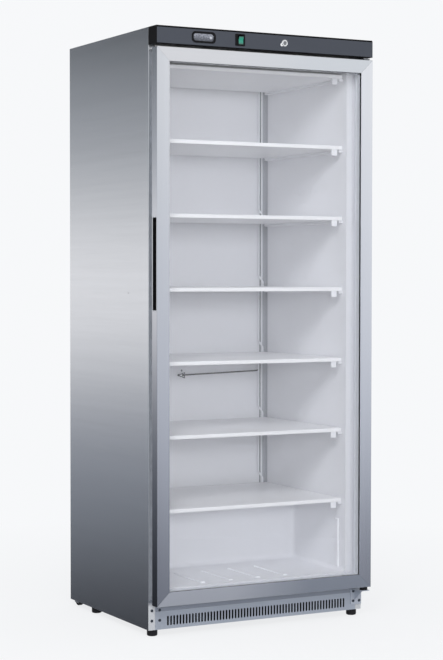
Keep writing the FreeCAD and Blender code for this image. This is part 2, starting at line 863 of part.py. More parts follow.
def make_door():
    solid = block("door_blank", ("-side", "side"), ("face", "door_back"), ("door_bottom", "door_top"))
    edged = rounded("door_edged", solid, "rail_edge", lambda middle, along: True)
    opening = block(
        "door_opening", ("-side + rail_face", "side - rail_face"), ("face - 1", "door_back + 1"),
        ("door_bottom + rail_face", "door_top - rail_face"))
    rebate = block(
        "door_rebate", ("-rebate", "rebate"), ("face + rail_gauge", "door_back + 1"),
        ("door_bottom + chamber_width", "door_top - chamber_width"))
    hollow = ring(
        "door_hollow",
        ("side - rail_gauge", "door_bottom + rail_gauge", "door_top - rail_gauge"),
        ("rebate + rail_gauge", "door_bottom + chamber_width - rail_gauge",
         "door_top - chamber_width + rail_gauge"),
        ("face + rail_gauge", "door_back - rail_gauge"))
    frame = cut("door_frame", edged, opening, rebate, hollow)
    half_gap = "mitre_gap * 0.7071"
    left = [
        ("-side - 1", f"door_bottom - 1 + {half_gap}"),
        ("-side + rail_face", f"door_bottom + rail_face + {half_gap}"),
        ("-side + rail_face", f"door_top - rail_face - {half_gap}"),
        ("-side - 1", f"door_top + 1 - {half_gap}"),
    ]
    right = [(f"-({across})", up) for across, up in left]
    bottom = [
        (f"-side - 1 + {half_gap}", "door_bottom - 1"),
        (f"-side + rail_face + {half_gap}", "door_bottom + rail_face"),
        (f"side - rail_face - {half_gap}", "door_bottom + rail_face"),
        (f"side + 1 - {half_gap}", "door_bottom - 1"),
    ]
    top = [(across, f"door_top + door_bottom - ({up})") for across, up in bottom]
    y = ("face - 1", "door_back + 1")
    left_stile = common("left_stile_bar", frame, prism("left_mitre", "XZ_Plane", left, *y))
    right_stile = common("right_stile_bar", frame, prism("right_mitre", "XZ_Plane", right, *y))
    bottom_rail = common("bottom_rail_bar", frame, prism("bottom_mitre", "XZ_Plane", bottom, *y))
    top_rail = common("top_rail_bar", frame, prism("top_mitre", "XZ_Plane", top, *y))

    handle_y = ("face + handle_setback", "face + handle_setback + handle_width")
    handle_z = ("handle_low", "handle_low + handle_length")
    mouth = block("handle_mouth", ("-side - 1", "-side + handle_depth + 1"), handle_y, handle_z)
    node("door_stile_left", cut("door_stile_left", left_stile, mouth))
    node("door_stile_right", right_stile)
    bush_hole = rod("bush_hole_low", "z", ("hinge_x", "hinge_y", "door_bottom - 1"),
                    "bush_radius + pin_clearance", "rail_gauge + 2")
    node("door_rail_bottom", cut("door_rail_bottom", bottom_rail, bush_hole))
    top_hole = rod("bush_hole_high", "z", ("hinge_x", "hinge_y", "door_top - rail_gauge - 1"),
                   "bush_radius + pin_clearance", "rail_gauge + 2")
    catch = cam_slot("lock_catch", "cam_length * 0.75", ("door_top - rail_gauge - 1", "door_top + 1"))
    node("door_rail_top", cut("door_rail_top", top_rail, top_hole, catch))

    grip = block(
        "grip_block", ("-side", "-side + handle_depth"),
        tuple(f"{text} {sign} fit_gap / 2" for text, sign in zip(handle_y, "+-")),
        tuple(f"{text} {sign} fit_gap / 2" for text, sign in zip(handle_z, "+-")))
    scoop = block(
        "grip_scoop", ("-side - 1", "-side + handle_depth - handle_wall"),
        (f"{handle_y[0]} + handle_wall", f"{handle_y[1]} - handle_wall"),
        (f"{handle_z[0]} + 2 * handle_wall", f"{handle_z[1]} - 2 * handle_wall"))
    soft_scoop = rounded(
        "grip_scoop_round", scoop, "handle_wall * 3",
        lambda middle, along: near(middle.x, "-side + handle_depth - handle_wall")
        or (abs(along.x) > 0.9))
    node("handle_insert", cut("handle_insert", grip, soft_scoop))
    make_glazing()
    make_gasket()


def make_glazing():
    edge = ("rebate - pane_clearance", "door_bottom + chamber_width + pane_clearance",
            "door_top - chamber_width - pane_clearance")
    show = ("side - rail_face", "door_bottom + rail_face", "door_top - rail_face")
    x = (f"-({edge[0]})", edge[0])
    z = edge[1:]
    node("glass_outer", block("glass_outer", x, ("glass_front", "gap_front"), z))
    node("glass_inner", block("glass_inner", x, ("gap_back", "glass_back"), z))
    node("glass_spacer", ring("glass_spacer", edge, show, ("gap_front", "gap_back")))
    node("glazing_seal", ring("glazing_seal", edge, show, ("face + rail_gauge", "glass_front")))
    base = ring(
        "inner_frame_base",
        ("side - inner_frame_inset", "door_bottom + inner_frame_inset", "door_top - inner_frame_inset / 2"),
        show, ("door_back", "inner_frame_back"))
    stop = ring("inner_frame_stop", edge, show, ("glass_back", "door_back + 0.5"))
    node("door_inner_frame", fuse("door_inner_frame", base, stop))


def make_gasket():
    outer = ("side - gasket_inset", "door_bottom + gasket_inset", "door_top - gasket_top_inset")
    inner = ("side - gasket_inset - gasket_width", "door_bottom + gasket_inset + gasket_width",
             "door_top - gasket_top_inset - gasket_width")

    def narrowed(text_set, amount):
        x, low, high = text_set
        return (f"{x} - {amount}", f"{low} + {amount}", f"{high} - {amount}")

    def widened(text_set, amount):
        x, low, high = text_set
        return (f"{x} + {amount}", f"{low} - {amount}", f"{high} + {amount}")

    foot = ring("gasket_foot", outer, inner, ("inner_frame_back", "inner_frame_back + 3"))
    waist = ring(
        "gasket_waist", narrowed(outer, "3.5"), widened(inner, "3.5"),
        ("inner_frame_back + 2", "front - fit_gap - 5"))
    magnet = ring(
        "gasket_magnet", narrowed(outer, "1"), widened(inner, "1"),
        ("front - fit_gap - 6", "front - fit_gap"))
    node("door_gasket", fuse("door_gasket", foot, waist, magnet))


# Hinges.

def make_hinges():
    low = ("frame_side + flange_width - bracket_width", "side - fit_gap")
    plate = block("bracket_plate", low, ("front - bracket_gauge", "front"), ("bracket_low", "bracket_top"))
    shelf = prism("bracket_shelf", "XY_Plane", [
        (low[0], "front"),
        (low[1], "front"),
        (low[1], "front - bracket_reach"),
        ("hinge_x - 14", "front - bracket_reach"),
        (low[0], "front - 16"),
    ], "bracket_top - bracket_gauge", "bracket_top")
    gusset = prism("bracket_gusset", "YZ_Plane", [
        ("front - bracket_gauge + 0.5", "bracket_top - bracket_gauge + 0.5"),
        ("front - bracket_reach + 10", "bracket_top - bracket_gauge + 0.5"),
        ("front - bracket_reach + 10", "bracket_top - bracket_gauge - 3"),
        ("front - bracket_gauge + 0.5", "bracket_top - gusset_height"),
    ], "frame_side - gusset_gauge", "frame_side")
    pin = rod("bottom_pin", "z", ("hinge_x", "hinge_y", "bracket_top - 1"), "pin_radius",
              "door_bottom + pin_reach - bracket_top")
    node("hinge_bracket_bottom", cut(
        "hinge_bracket_bottom", fuse("bottom_bracket", plate, shelf, gusset, pin),
        *screw_holes("bracket_hole", BRACKET_SCREWS)))
    washer = turned("hinge_washer", [
        ("pin_radius + pin_clearance", "0"),
        ("bush_flange", "0"),
        ("bush_flange", "washer_height - 1"),
        ("bush_flange - 1", "washer_height"),
        ("pin_radius + pin_clearance", "washer_height"),
    ], ("hinge_x", "hinge_y", "bracket_top"))
    node("hinge_washer", washer)

    top_low = "door_top + top_bush_flange + fit_gap"
    arm = block(
        "top_arm", ("hinge_x - 14", "side - 5"), ("hinge_y - 14", "front"),
        (top_low, f"{top_low} + bracket_gauge"))
    leaf = block(
        "top_leaf", ("hinge_x - 40", "side - 5"), ("front - bracket_gauge", "front"),
        (top_low, f"{top_low} + top_bracket_rise"))
    top_pin = rod("top_pin", "z", ("hinge_x", "hinge_y", "door_top - pin_reach"), "pin_radius",
                  "pin_reach + top_bush_flange + fit_gap + 1")
    node("hinge_bracket_top", fuse("hinge_bracket_top", arm, leaf, top_pin))

    bottom_bush = turned("bush_bottom", [
        ("pin_radius + pin_clearance", "bracket_top + washer_height + 0.1"),
        ("bush_flange", "bracket_top + washer_height + 0.1"),
        ("bush_flange", "door_bottom"),
        ("bush_radius", "door_bottom"),
        ("bush_radius", "door_bottom + pin_reach"),
        ("pin_radius + pin_clearance", "door_bottom + pin_reach"),
    ], ("hinge_x", "hinge_y", "0"))
    top_bush = turned("bush_top", [
        ("pin_radius + pin_clearance", "door_top - pin_reach"),
        ("bush_radius", "door_top - pin_reach"),
        ("bush_radius", "door_top"),
        ("bush_flange", "door_top"),
        ("bush_flange", "door_top + top_bush_flange"),
        ("pin_radius + pin_clearance", "door_top + top_bush_flange"),
    ], ("hinge_x", "hinge_y", "0"))
    node("hinge_bushes", group("hinge_bushes", [bottom_bush, top_bush]))


# Fascia with its controls.

def soft_block(name, x, y, z, radius):
    """A box whose four edges along Y are rounded."""
    return rounded(name, block(name + "_block", x, y, z), radius, lambda middle, along: abs(along.y) > 0.9)


def cam_slot(name, reach, z):
    """Room for the lock's cam to swing down through a wall."""
    return block(
        name, ("lock_centre - cam_half_width - cam_room", f"lock_centre + {reach}"),
        ("cam_front - cam_room", "cam_front + cam_gauge + cam_room"), z)


def make_fascia():
    shell = prism("fascia_solid", "YZ_Plane", [
        ("face", "fascia_low"),
        ("face", "overall_height - fascia_bevel"),
        ("face + fascia_bevel * 0.6", "overall_height"),
        ("front", "overall_height"),
        ("front", "fascia_low"),
    ], "-side", "side")
    inside = prism("fascia_inside", "YZ_Plane", [
        ("face + fascia_wall", "fascia_low + fascia_wall"),
        ("face + fascia_wall", "overall_height - fascia_bevel - 1"),
        ("face + fascia_bevel * 0.6 + 1", "overall_height - fascia_wall"),
        ("front + 1", "overall_height - fascia_wall"),
        ("front + 1", "fascia_low + fascia_wall"),
    ], "-side + fascia_wall", "side - fascia_wall")
    softened = rounded(
        "fascia_soft", shell, "bend_radius",
        lambda middle, along: abs(along.x) > 0.9 and middle.y < value("front") - 10
        or abs(middle.x) > value("side") - 1 and near(middle.y, "face"))
    through = ("face - 1", "face + fascia_wall + 1")
    windows = [
        soft_block("thermostat_window", centred("thermostat_centre", "thermostat_width - 4"), through,
                   centred("control_height", "thermostat_height - 4"), "thermostat_corner - 2"),
        block("switch_window", centred("switch_centre", "switch_width - 4"), through,
              centred("control_height", "switch_height - 4")),
        rod("lock_window", "y", ("lock_centre", "face - 1", "control_height"), "lock_radius - 1",
            "fascia_wall + 2"),
        cam_slot("cam_window", "cam_length", ("fascia_low - 1", "fascia_low + fascia_wall + 1"))]
    relief = block(
        "hinge_relief", ("hinge_x - 41", "side - 4"), ("front - bracket_gauge - 0.5", "front + 1"),
        ("fascia_low - 1", "fascia_low + fascia_wall + 1"))
    node("fascia_panel", cut("fascia_panel", softened, inside, *windows, relief))
    make_thermostat()
    make_switch()
    make_lock()


def make_thermostat():
    rim = soft_block(
        "thermostat_flange", centred("thermostat_centre", "thermostat_width"),
        ("face - thermostat_stand", "face"), centred("control_height", "thermostat_height"),
        "thermostat_corner")
    case = soft_block(
        "thermostat_case", centred("thermostat_centre", "thermostat_width - 4.4"),
        ("face - 0.5", "face + thermostat_depth"), centred("control_height", "thermostat_height - 4.4"),
        "thermostat_corner - 2.2")
    recess = soft_block(
        "thermostat_pocket", centred("thermostat_centre", "thermostat_width - 2 * thermostat_rim"),
        ("face - thermostat_stand - 1", "face + thermostat_recess"),
        centred("control_height", "thermostat_height - 2 * thermostat_rim"), "thermostat_corner - 4")
    key_y = ("key_centre", "face + thermostat_recess - 1", "control_height")
    key_bore = rod("key_bore", "y", key_y, "key_radius + key_clearance", "key_travel + 9")
    body = fuse("thermostat_body", rim, case)
    node("thermostat_housing", cut("thermostat_housing", body, recess, key_bore))
    plate = soft_block(
        "face_plate_blank", centred("thermostat_centre", "thermostat_width - 2 * thermostat_rim - fit_gap"),
        ("face + thermostat_recess - 2", "face + thermostat_recess"),
        centred("control_height", "thermostat_height - 2 * thermostat_rim - fit_gap"),
        "thermostat_corner - 4.2")
    hole = rod("face_plate_hole", "y", ("key_centre", "face", "control_height"),
               "key_radius + key_clearance", "thermostat_recess + 1")
    node("thermostat_face", cut("thermostat_face", plate, hole))
    node("thermostat_key", turned("thermostat_key", [
        ("0", "-thermostat_recess - 6"),
        ("key_radius", "-thermostat_recess - 6"),
        ("key_radius", "-thermostat_recess + 2 + key_stand - 0.8"),
        ("key_radius - 0.8", "-thermostat_recess + 2 + key_stand"),
        ("0", "-thermostat_recess + 2 + key_stand"),
    ], ("key_centre", "face", "control_height"), FACING_OUT))


def make_switch():
    flange = soft_block(
        "switch_flange", centred("switch_centre", "switch_width"), ("face - switch_stand", "face"),
        centred("control_height", "switch_height"), "2.5")
    case = block(
        "switch_case", centred("switch_centre", "switch_width - 4.4"), ("face - 0.5", "face + switch_depth"),
        centred("control_height", "switch_height - 4.4"))
    well = block(
        "switch_well", centred("rocker_x", "rocker_width + 2 * rocker_clearance"),
        ("face - switch_stand - 1", "face + switch_depth - 2"),
        centred("control_height", "rocker_height + 2 * rocker_clearance"))
    axle_holes = rod(
        "rocker_axle_holes", "x", ("rocker_x - rocker_width / 2 - 3", "rocker_y", "control_height"),
        "rocker_axle + pin_clearance", "rocker_width + 6")
    node("switch_housing", cut("switch_housing", fuse("switch_body", flange, case), well, axle_holes))
    body = tilted("rocker_solid", [
        ("-rocker_reach", "-rocker_half"),
        ("-rocker_reach + rocker_dip", "0"),
        ("-rocker_reach", "rocker_half"),
        ("-3", "rocker_half"),
        ("4", "5"),
        ("4", "-5"),
        ("-3", "-rocker_half"),
    ], "rocker_width")
    seat = tilted("lens_seat", lens_outline("-rocker_reach - 1", "0"), "rocker_width - 2 * lens_rim")
    axle = rod("rocker_pin", "x", ("rocker_x - rocker_width / 2 - 2.5", "rocker_y", "control_height"),
               "rocker_axle", "rocker_width + 5")
    node("switch_rocker", fuse("switch_rocker", cut("rocker_body", body, seat), axle))
    node("switch_lens", tilted(
        "switch_lens", lens_outline("-rocker_reach", "fit_gap / 2"),
        "rocker_width - 2 * lens_rim - fit_gap"))


def tilted(name, points, width):
    """A slice of the rocker, drawn level about its pivot and laid over to where it rests."""
    owner = prism(name, "YZ_Plane", points, f"-({width}) / 2", f"({width}) / 2")
    owner.Placement = FreeCAD.Placement(
        FreeCAD.Vector(), FreeCAD.Rotation(FreeCAD.Vector(1, 0, 0), value("rocker_tilt")))
    return place(owner, ("rocker_x", "rocker_y", "control_height"))


def lens_outline(front, gap):
    """The bent strip of the lens, from its front to its seat in the rocker."""
    end = f"(rocker_half - lens_rim - {gap})"
    return [
        (front, f"-{end}"),
        (f"{front} + rocker_dip", "0"),
        (front, end),
        ("-rocker_reach + lens_gauge", end),
        ("-rocker_reach + lens_gauge + rocker_dip", "0"),
        ("-rocker_reach + lens_gauge", f"-{end}"),
    ]


def make_lock():
    spot = ("lock_centre", "face", "control_height")
    sleeve = turned("lock_sleeve", [
        ("plug_radius + plug_clearance", "lock_stand - 0.6"),
        ("plug_radius + 0.8", "lock_stand"),
        ("lock_radius - 1", "lock_stand"),
        ("lock_radius + 1", "lock_stand - 1.2"),
        ("lock_radius + 1", "0"),
        ("lock_radius - 1.1", "0"),
        ("lock_radius - 1.1", "-lock_depth + fit_gap"),
        ("plug_radius + plug_clearance", "-lock_depth + fit_gap"),
    ], spot, FACING_OUT)
    ear_spot = ("lock_centre - lock_radius - 1", "face - 1", "control_height - lock_radius * 0.55")
    ear = rod("lock_ear", "y", ear_spot, "ear_radius", "1")
    eye = rod("lock_eye", "y", (ear_spot[0], "face - 2", ear_spot[2]), "ear_radius * 0.45", "1.9")
    bore = rod("lock_bore", "y", ("lock_centre", "face - lock_stand - 1", "control_height"),
               "plug_radius + plug_clearance", "lock_stand + 2")
    node("lock_housing", cut("lock_housing", fuse("lock_case", sleeve, ear), eye, bore))
    barrel = turned("plug_barrel", [
        ("0", "-lock_depth - 1"),
        ("plug_radius", "-lock_depth - 1"),
        ("plug_radius", "lock_stand - 1"),
        ("plug_radius - 0.4", "lock_stand - 0.6"),
        ("0", "lock_stand - 0.6"),
    ], spot, FACING_OUT)
    keyway = block(
        "keyway", centred("lock_centre", "keyway_width"), ("face - lock_stand - 1", "face + 6"),
        centred("control_height", "keyway_height"))
    cam = soft_block(
        "lock_cam", ("lock_centre - cam_half_width", "lock_centre + cam_length"),
        ("cam_front", "cam_front + cam_gauge"), centred("control_height", "2 * cam_half_width"), "4")
    node("lock_plug", cut("lock_plug", fuse("plug_solid", barrel, cam), keyway))


# Evaporator shelves, their supports and the refrigerant tubes.

def shelf_level(number):
    return f"shelf_top - shelf_pitch * {number}"


def shelf(number):
    low = shelf_level(number)
    name = f"evaporator_shelf_{number + 1}"
    tray = block(
        name + "_tray", ("-shelf_half_width", "shelf_half_width"), ("shelf_front", "shelf_back"),
        (low, f"{low} + shelf_height"))
    soft = rounded(
        name + "_soft", tray, "shelf_edge",
        lambda middle, along: near(middle.y, "shelf_front") and abs(along.z) < 0.9)
    room = block(
        name + "_room", ("-shelf_half_width + shelf_gauge", "shelf_half_width - shelf_gauge"),
        ("shelf_front + shelf_gauge", "shelf_back + 1"),
        (f"{low} + shelf_underside", f"{low} + shelf_height - shelf_gauge"))
    groove = block(
        name + "_groove", ("-shelf_half_width - 1", "shelf_half_width + 1"),
        ("shelf_front + groove_setback", "shelf_front + groove_setback + groove_width"),
        (f"{low} + shelf_height - groove_depth", f"{low} + shelf_height + 1"))
    return cut(name, soft, room, groove)


def coil(number):
    """One tube under a shelf: in at the right, to and fro, and out beside the inlet."""
    level = f"{shelf_level(number)} + coil_drop"
    left = "-shelf_half_width + coil_margin"
    right = "coil_outlet - coil_margin"
    first = "shelf_front + coil_margin"
    runs = round(value("coil_runs"))
    step = "(shelf_back - shelf_front - coil_margin * 2.4) / (coil_runs - 1)"
    route = [("coil_inlet", "shelf_back - 4", level), ("coil_inlet", first, level)]
    for run in range(runs):
        y = f"{first} + {step} * {run}"
        last = run == runs - 1
        ends = (right, left) if run % 2 == 0 else (left, "coil_outlet" if last else right)
        if run == 0:
            route.append((left, y, level))
        else:
            route += [(ends[0], y, level), (ends[1], y, level)]
    route.append(("coil_outlet", "shelf_back - 4", level))
    return pipe(f"coil_{number + 1}", route, "coil_radius", "coil_bend")


def wall_bar(name, sign, rise, y, z, radius, choose):
    """A bar moulded on a side wall of the chamber; sign is - on the left and empty on the right."""
    ends = [f"{sign}(chamber_side - {rise})", f"{sign}(chamber_side + 1)"]
    if sign == "-":
        ends.reverse()
    return rounded(name, block(name + "_bar", ends, y, z), radius, choose)


def shelf_ledge(number, side, sign):
    """The bar under one side of a shelf."""
    low = shelf_level(number)
    return wall_bar(
        f"ledge_{side}_{number + 1}", sign, "ledge_width", ("shelf_front + 8", "shelf_back"),
        (f"{low} - ledge_height", low), "ledge_height / 3",
        lambda middle, along: near(middle.z, f"{low} - ledge_height")
        and abs(middle.x) < value("chamber_side") - 1)


def wall_bead(side, sign):
    """The upright bead behind the front edge of the lowest compartment."""
    return wall_bar(
        f"wall_bead_{side}", sign, "bead_rise", centred("front + bead_setback", "bead_width"),
        ("floor_height + bead_floor_room", f"{shelf_level('(shelf_count - 1)')} - bead_headroom"),
        "bead_rise * 0.8",
        lambda middle, along: near(abs(middle.x), "chamber_side - bead_rise"))


def shelf_clip(number):
    low = shelf_level(number)
    bar = block(
        f"clip_bar_{number + 1}",
        ("shelf_half_width - clip_inset - clip_width", "shelf_half_width - clip_inset"),
        ("shelf_front + 1", "shelf_front + 1 + clip_depth"), (f"{low} - clip_height", low))
    return rounded(
        f"clip_{number + 1}", bar, "2.5",
        lambda middle, along: near(middle.z, f"{low} - clip_height"))


def make_shelves():
    numbers = range(round(value("shelf_count")))
    node("evaporator_shelves", group("evaporator_shelves", [shelf(number) for number in numbers]))
    node("evaporator_coils", group("evaporator_coils", [coil(number) for number in numbers]))
    node("shelf_clips", group("shelf_clips", [shelf_clip(number) for number in numbers]))


def make_tubes():
    last = round(value("shelf_count")) - 1
    links = []
    for number in range(last):
        high = f"{shelf_level(number)} + coil_drop"
        low = f"{shelf_level(number + 1)} + coil_drop"
        links.append(pipe(f"shelf_link_{number + 1}", [
            ("coil_outlet", "shelf_back - 4", high),
            ("coil_outlet", "link_y", high),
            ("coil_outlet", "link_y", f"{low} + 42"),
            ("coil_inlet", "link_y", f"{low} + 22"),
            ("coil_inlet", "link_y", low),
            ("coil_inlet", "shelf_back - 4", low),
        ], "riser_radius", "riser_bend"))
    top = f"{shelf_level(0)} + coil_drop"
    riser = pipe("feed_riser", [
        ("coil_inlet", "feed_y", "hump_top + 2"),
        ("coil_inlet", "feed_y", top),
        ("coil_inlet", "shelf_back - 4", top),
    ], "riser_radius", "riser_bend")
    node("shelf_tubes", group("shelf_tubes", [riser, *links]))
    feed = pipe("feed_pipe", [
        ("drier_end", "condenser_middle", "drier_z"),
        ("drier_end + 20", "condenser_middle", "drier_z"),
        ("drier_end + 20", "condenser_middle", "bay_top - feed_drop"),
        ("coil_inlet", "condenser_middle", "bay_top - feed_drop"),
        ("coil_inlet", "feed_y", "bay_top - feed_drop"),
        ("coil_inlet", "feed_y", "hump_top + 2"),
    ], "riser_radius", "riser_bend")
    low = f"{shelf_level(last)} + coil_drop"
    suction = pipe("suction_pipe", [
        ("coil_outlet", "shelf_back - 4", low),
        ("coil_outlet", "link_y", low),
        ("coil_outlet", "link_y", "bay_top - 2 * feed_drop"),
        ("coil_outlet", "compressor_y", "suction_z"),
        ("compressor_x + compressor_radius + 12", "compressor_y", "suction_z"),
    ], "riser_radius", "riser_bend")
    stub = "compressor_x - compressor_radius - 12"
    discharge = pipe("discharge_pipe", [
        (stub, "compressor_y", "discharge_z"),
        (f"{stub} - 50", "compressor_y", "discharge_z"),
        (f"{stub} - 85", "condenser_middle", "discharge_z - 50"),
        ("condenser_right", "condenser_middle", "discharge_z - 50"),
    ], "riser_radius", "riser_bend")
    node("bay_pipes", group("bay_pipes", [feed, suction, discharge]))


def make_sensor():
    y = "chamber_back - 5"
    lead = pipe("sensor_lead", [
        ("0", y, "sensor_height"),
        ("sensor_exit", y, "sensor_height + sensor_rise"),
        ("sensor_exit", y, "sensor_height + sensor_rise * 4"),
        ("sensor_exit", "chamber_back", "sensor_height + sensor_rise * 4"),
    ], "sensor_cable_radius", ["12", "4.9"])
    bulb = rod("sensor_bulb", "x", ("-20", y, "sensor_height"), "3.5", "24")
    node("sensor_cable", fuse("sensor_cable", lead, bulb))
    base = block("clip_base", ("-24", "0"), ("chamber_back - 1.5", "chamber_back"),
                 ("sensor_height - 12", "sensor_height + 12"))
    arch = rod("clip_arch", "x", ("-16", y, "sensor_height"), "5", "9")
    slab = block("clip_slab", ("-16", "-7"), (y, "chamber_back"), ("sensor_height - 5", "sensor_height + 5"))
    bore = rod("clip_bore", "x", ("-17", y, "sensor_height"), "3.55", "11")
    stud = rod("clip_screw", "y", ("-11.5", "chamber_back - 4", "sensor_height - 8.6"), "2.6", "3")
    node("sensor_clip", cut("sensor_clip", fuse("clip_body", base, arch, slab, stud), bore))


# Machine bay.

def make_compressor():
    low = "compressor_low"
    crown = "compressor_crown"
    shell = turned("compressor_shell", [
        ("0", "0"),
        ("compressor_radius * 0.62", "0"),
        ("compressor_radius * 0.88", f"{crown} * 0.28"),
        ("compressor_radius", f"{crown}"),
        ("compressor_radius", "compressor_height * 0.5"),
        ("compressor_radius + 3", "compressor_height * 0.5"),
        ("compressor_radius + 3", "compressor_height * 0.5 + 4"),
        ("compressor_radius - 1", "compressor_height * 0.5 + 4"),
        ("compressor_radius - 1", f"compressor_height - {crown}"),
        ("compressor_radius * 0.86", f"compressor_height - {crown} * 0.28"),
        ("compressor_radius * 0.55", "compressor_height"),
        ("0", "compressor_height"),
    ], ("compressor_x", "compressor_y", f"{low} + plate_gauge"))
    plate = block(
        "compressor_plate", centred("compressor_x", "plate_width"), centred("compressor_y", "plate_depth"),
        (low, f"{low} + plate_gauge + 0.2"))
    suction = rod("suction_stub", "x", ("compressor_x + 60", "compressor_y", "suction_z"),
                  "2 * riser_radius", "compressor_radius - 48")
    discharge = rod(
        "discharge_stub", "x", ("compressor_x - compressor_radius - 12", "compressor_y", "discharge_z"),
        "2 * riser_radius", "40")
    node("compressor", fuse("compressor", shell, plate, suction, discharge))
    corners = [
        (f"compressor_x {across} mount_spacing / 2", f"compressor_y {along} mount_depth / 2")
        for across in "-+" for along in "-+"]
    node("compressor_mounts", group("compressor_mounts", [
        turned(f"rubber_mount_{number}", [
            ("0", "0"),
            ("mount_radius", "0"),
            ("mount_radius", "mount_height * 0.35"),
            ("mount_radius * 0.7", "mount_height * 0.45"),
            ("mount_radius * 0.7", "mount_height * 0.6"),
            ("mount_radius", "mount_height * 0.7"),
            ("mount_radius", "mount_height"),
            ("0", "mount_height"),
        ], (across, along, "pan_top"))
        for number, (across, along) in enumerate(corners)]))
    rim = "compressor_x + compressor_radius + 3"
    node("relay_box", block(
        "relay_box", (rim, f"{rim} + relay_width"), centred("compressor_y", "relay_depth"),
        centred(f"{low} + compressor_height / 2", "relay_height")))


def make_condenser():
    core = prism("condenser_core", "XZ_Plane", [
        ("condenser_left", "pan_top"),
        ("condenser_right", "pan_top"),
        ("condenser_right", "pan_top + condenser_height"),
        ("condenser_left", "pan_top + condenser_height"),
    ], "condenser_front", "condenser_back")
    for side, low in (("front", "condenser_front - 1"), ("back", "condenser_middle + 2")):
        sketch = sketch_on(core, "XZ_Plane", f"-({low})")
        outline(sketch, [
            ("condenser_left + 3", "pan_top + 6"),
            ("condenser_left + 3 + fin_pitch - fin_gauge", "pan_top + 6"),
            ("condenser_left + 3 + fin_pitch - fin_gauge", "pan_top + condenser_height - 6"),
            ("condenser_left + 3", "pan_top + condenser_height - 6"),
        ])
        gap = core.newObject("PartDesign::Pocket", "fin_gap_" + side)
        gap.Profile = sketch
        gap.setExpression("Length", bound("condenser_depth / 2 - 1"))
        fins = core.newObject("PartDesign::LinearPattern", "fins_" + side)
        fins.Originals = [gap]
        fins.Direction = (sketch, ["H_Axis"])
        count = "floor((condenser_width - 6) / fin_pitch)"
        fins.setExpression("Length", bound(f"fin_pitch * ({count} - 1)"))
        fins.setExpression("Occurrences", bound(count))
        core.Tip = fins
    node("condenser", core)
    node("filter_drier", turned("filter_drier", [
        ("0", "condenser_right - drier_end"),
        ("riser_radius", "condenser_right - drier_end"),
        ("riser_radius", "-drier_length * 0.8"),
        ("drier_radius", "-drier_length * 0.72"),
        ("drier_radius", "-drier_length * 0.2"),
        ("riser_radius", "-drier_length * 0.12"),
        ("riser_radius", "0"),
        ("0", "0"),
    ], ("drier_end", "condenser_middle", "drier_z"), TURNS["x"]))


def make_fan():
    y = "condenser_back"
    plate = block(
        "shroud_plate", ("condenser_left", "condenser_right"), (y, f"{y} + 2"),
        ("pan_top", "pan_top + condenser_height"))
    mouth_radius = "fan_radius + fan_tip_gap"
    hoop = rod("shroud_hoop", "y", ("fan_x", y, "fan_height"), f"{mouth_radius} + 2", "14")
    mouth = rod("shroud_mouth", "y", ("fan_x", f"{y} - 1", "fan_height"), mouth_radius, "20")
    arm_y = ("motor_front + 5", "motor_front + 9")
    arm = block("motor_arm", centred("fan_x", f"2 * ({mouth_radius} + 10)"), arm_y,
                centred("fan_height", "arm_width"))
    legs = [
        block(f"motor_leg_{side}", centred(f"fan_x {sign} ({mouth_radius} + 8)", "4"),
              (f"{y} + 1", arm_y[1]), centred("fan_height", "arm_width"))
        for side, sign in (("left", "-"), ("right", "+"))]
    seat = rod("motor_seat", "y", ("fan_x", "motor_front", "fan_height"),
               "motor_radius + pin_clearance", "12")
    shroud = cut("shroud_open", fuse("shroud_solid", plate, hoop), mouth)
    node("fan_shroud", fuse("fan_shroud", shroud, cut("motor_strap", arm, seat), *legs))
    node("fan_motor", turned("fan_motor", [
        ("shaft_radius + pin_clearance", "0"),
        ("motor_radius - 6", "0"),
        ("motor_radius", "4"),
        ("motor_radius", "30"),
        ("motor_radius + 7", "30"),
        ("motor_radius + 7", "48"),
        ("motor_radius - 2", "58"),
        ("0", "58"),
        ("0", "20"),
        ("shaft_radius + pin_clearance", "20"),
    ], ("fan_x", "motor_front", "fan_height"), TURNS["y"]))
    hub_front = "condenser_back + 5"
    hub = turned("fan_hub_body", [
        ("0", "0"),
        ("fan_hub - 3", "0"),
        ("fan_hub", "3"),
        ("fan_hub", "18"),
        ("shaft_radius", "18"),
        ("shaft_radius", "motor_setback + 14"),
        ("0", "motor_setback + 14"),
    ], ("fan_x", hub_front, "fan_height"), TURNS["y"])
    blades = []
    centre = FreeCAD.Vector(value("fan_x"), value(f"{hub_front} + 9"), value("fan_height"))
    pitch = FreeCAD.Rotation(FreeCAD.Vector(1, 0, 0), value("blade_pitch"))
    corner = FreeCAD.Vector(0, -value("blade_width") / 2, -value("blade_gauge") / 2)
    root = FreeCAD.Vector(value("fan_hub") - 3, 0, 0) + pitch.multVec(corner)
    count = round(value("fan_blades"))
    for number in range(count):
        blade = doc.addObject("Part::Box", f"fan_blade_{number}")
        blade.setExpression("Length", bound("fan_radius - fan_hub + 3"))
        blade.setExpression("Width", bound("blade_width"))
        blade.setExpression("Height", bound("blade_gauge"))
        spin = FreeCAD.Rotation(FreeCAD.Vector(0, 1, 0), 360 * number / count)
        blade.Placement = FreeCAD.Placement(centre + spin.multVec(root), spin * pitch)
        blades.append(blade)
    node("fan_blades", fuse("fan_wheel", hub, *blades))


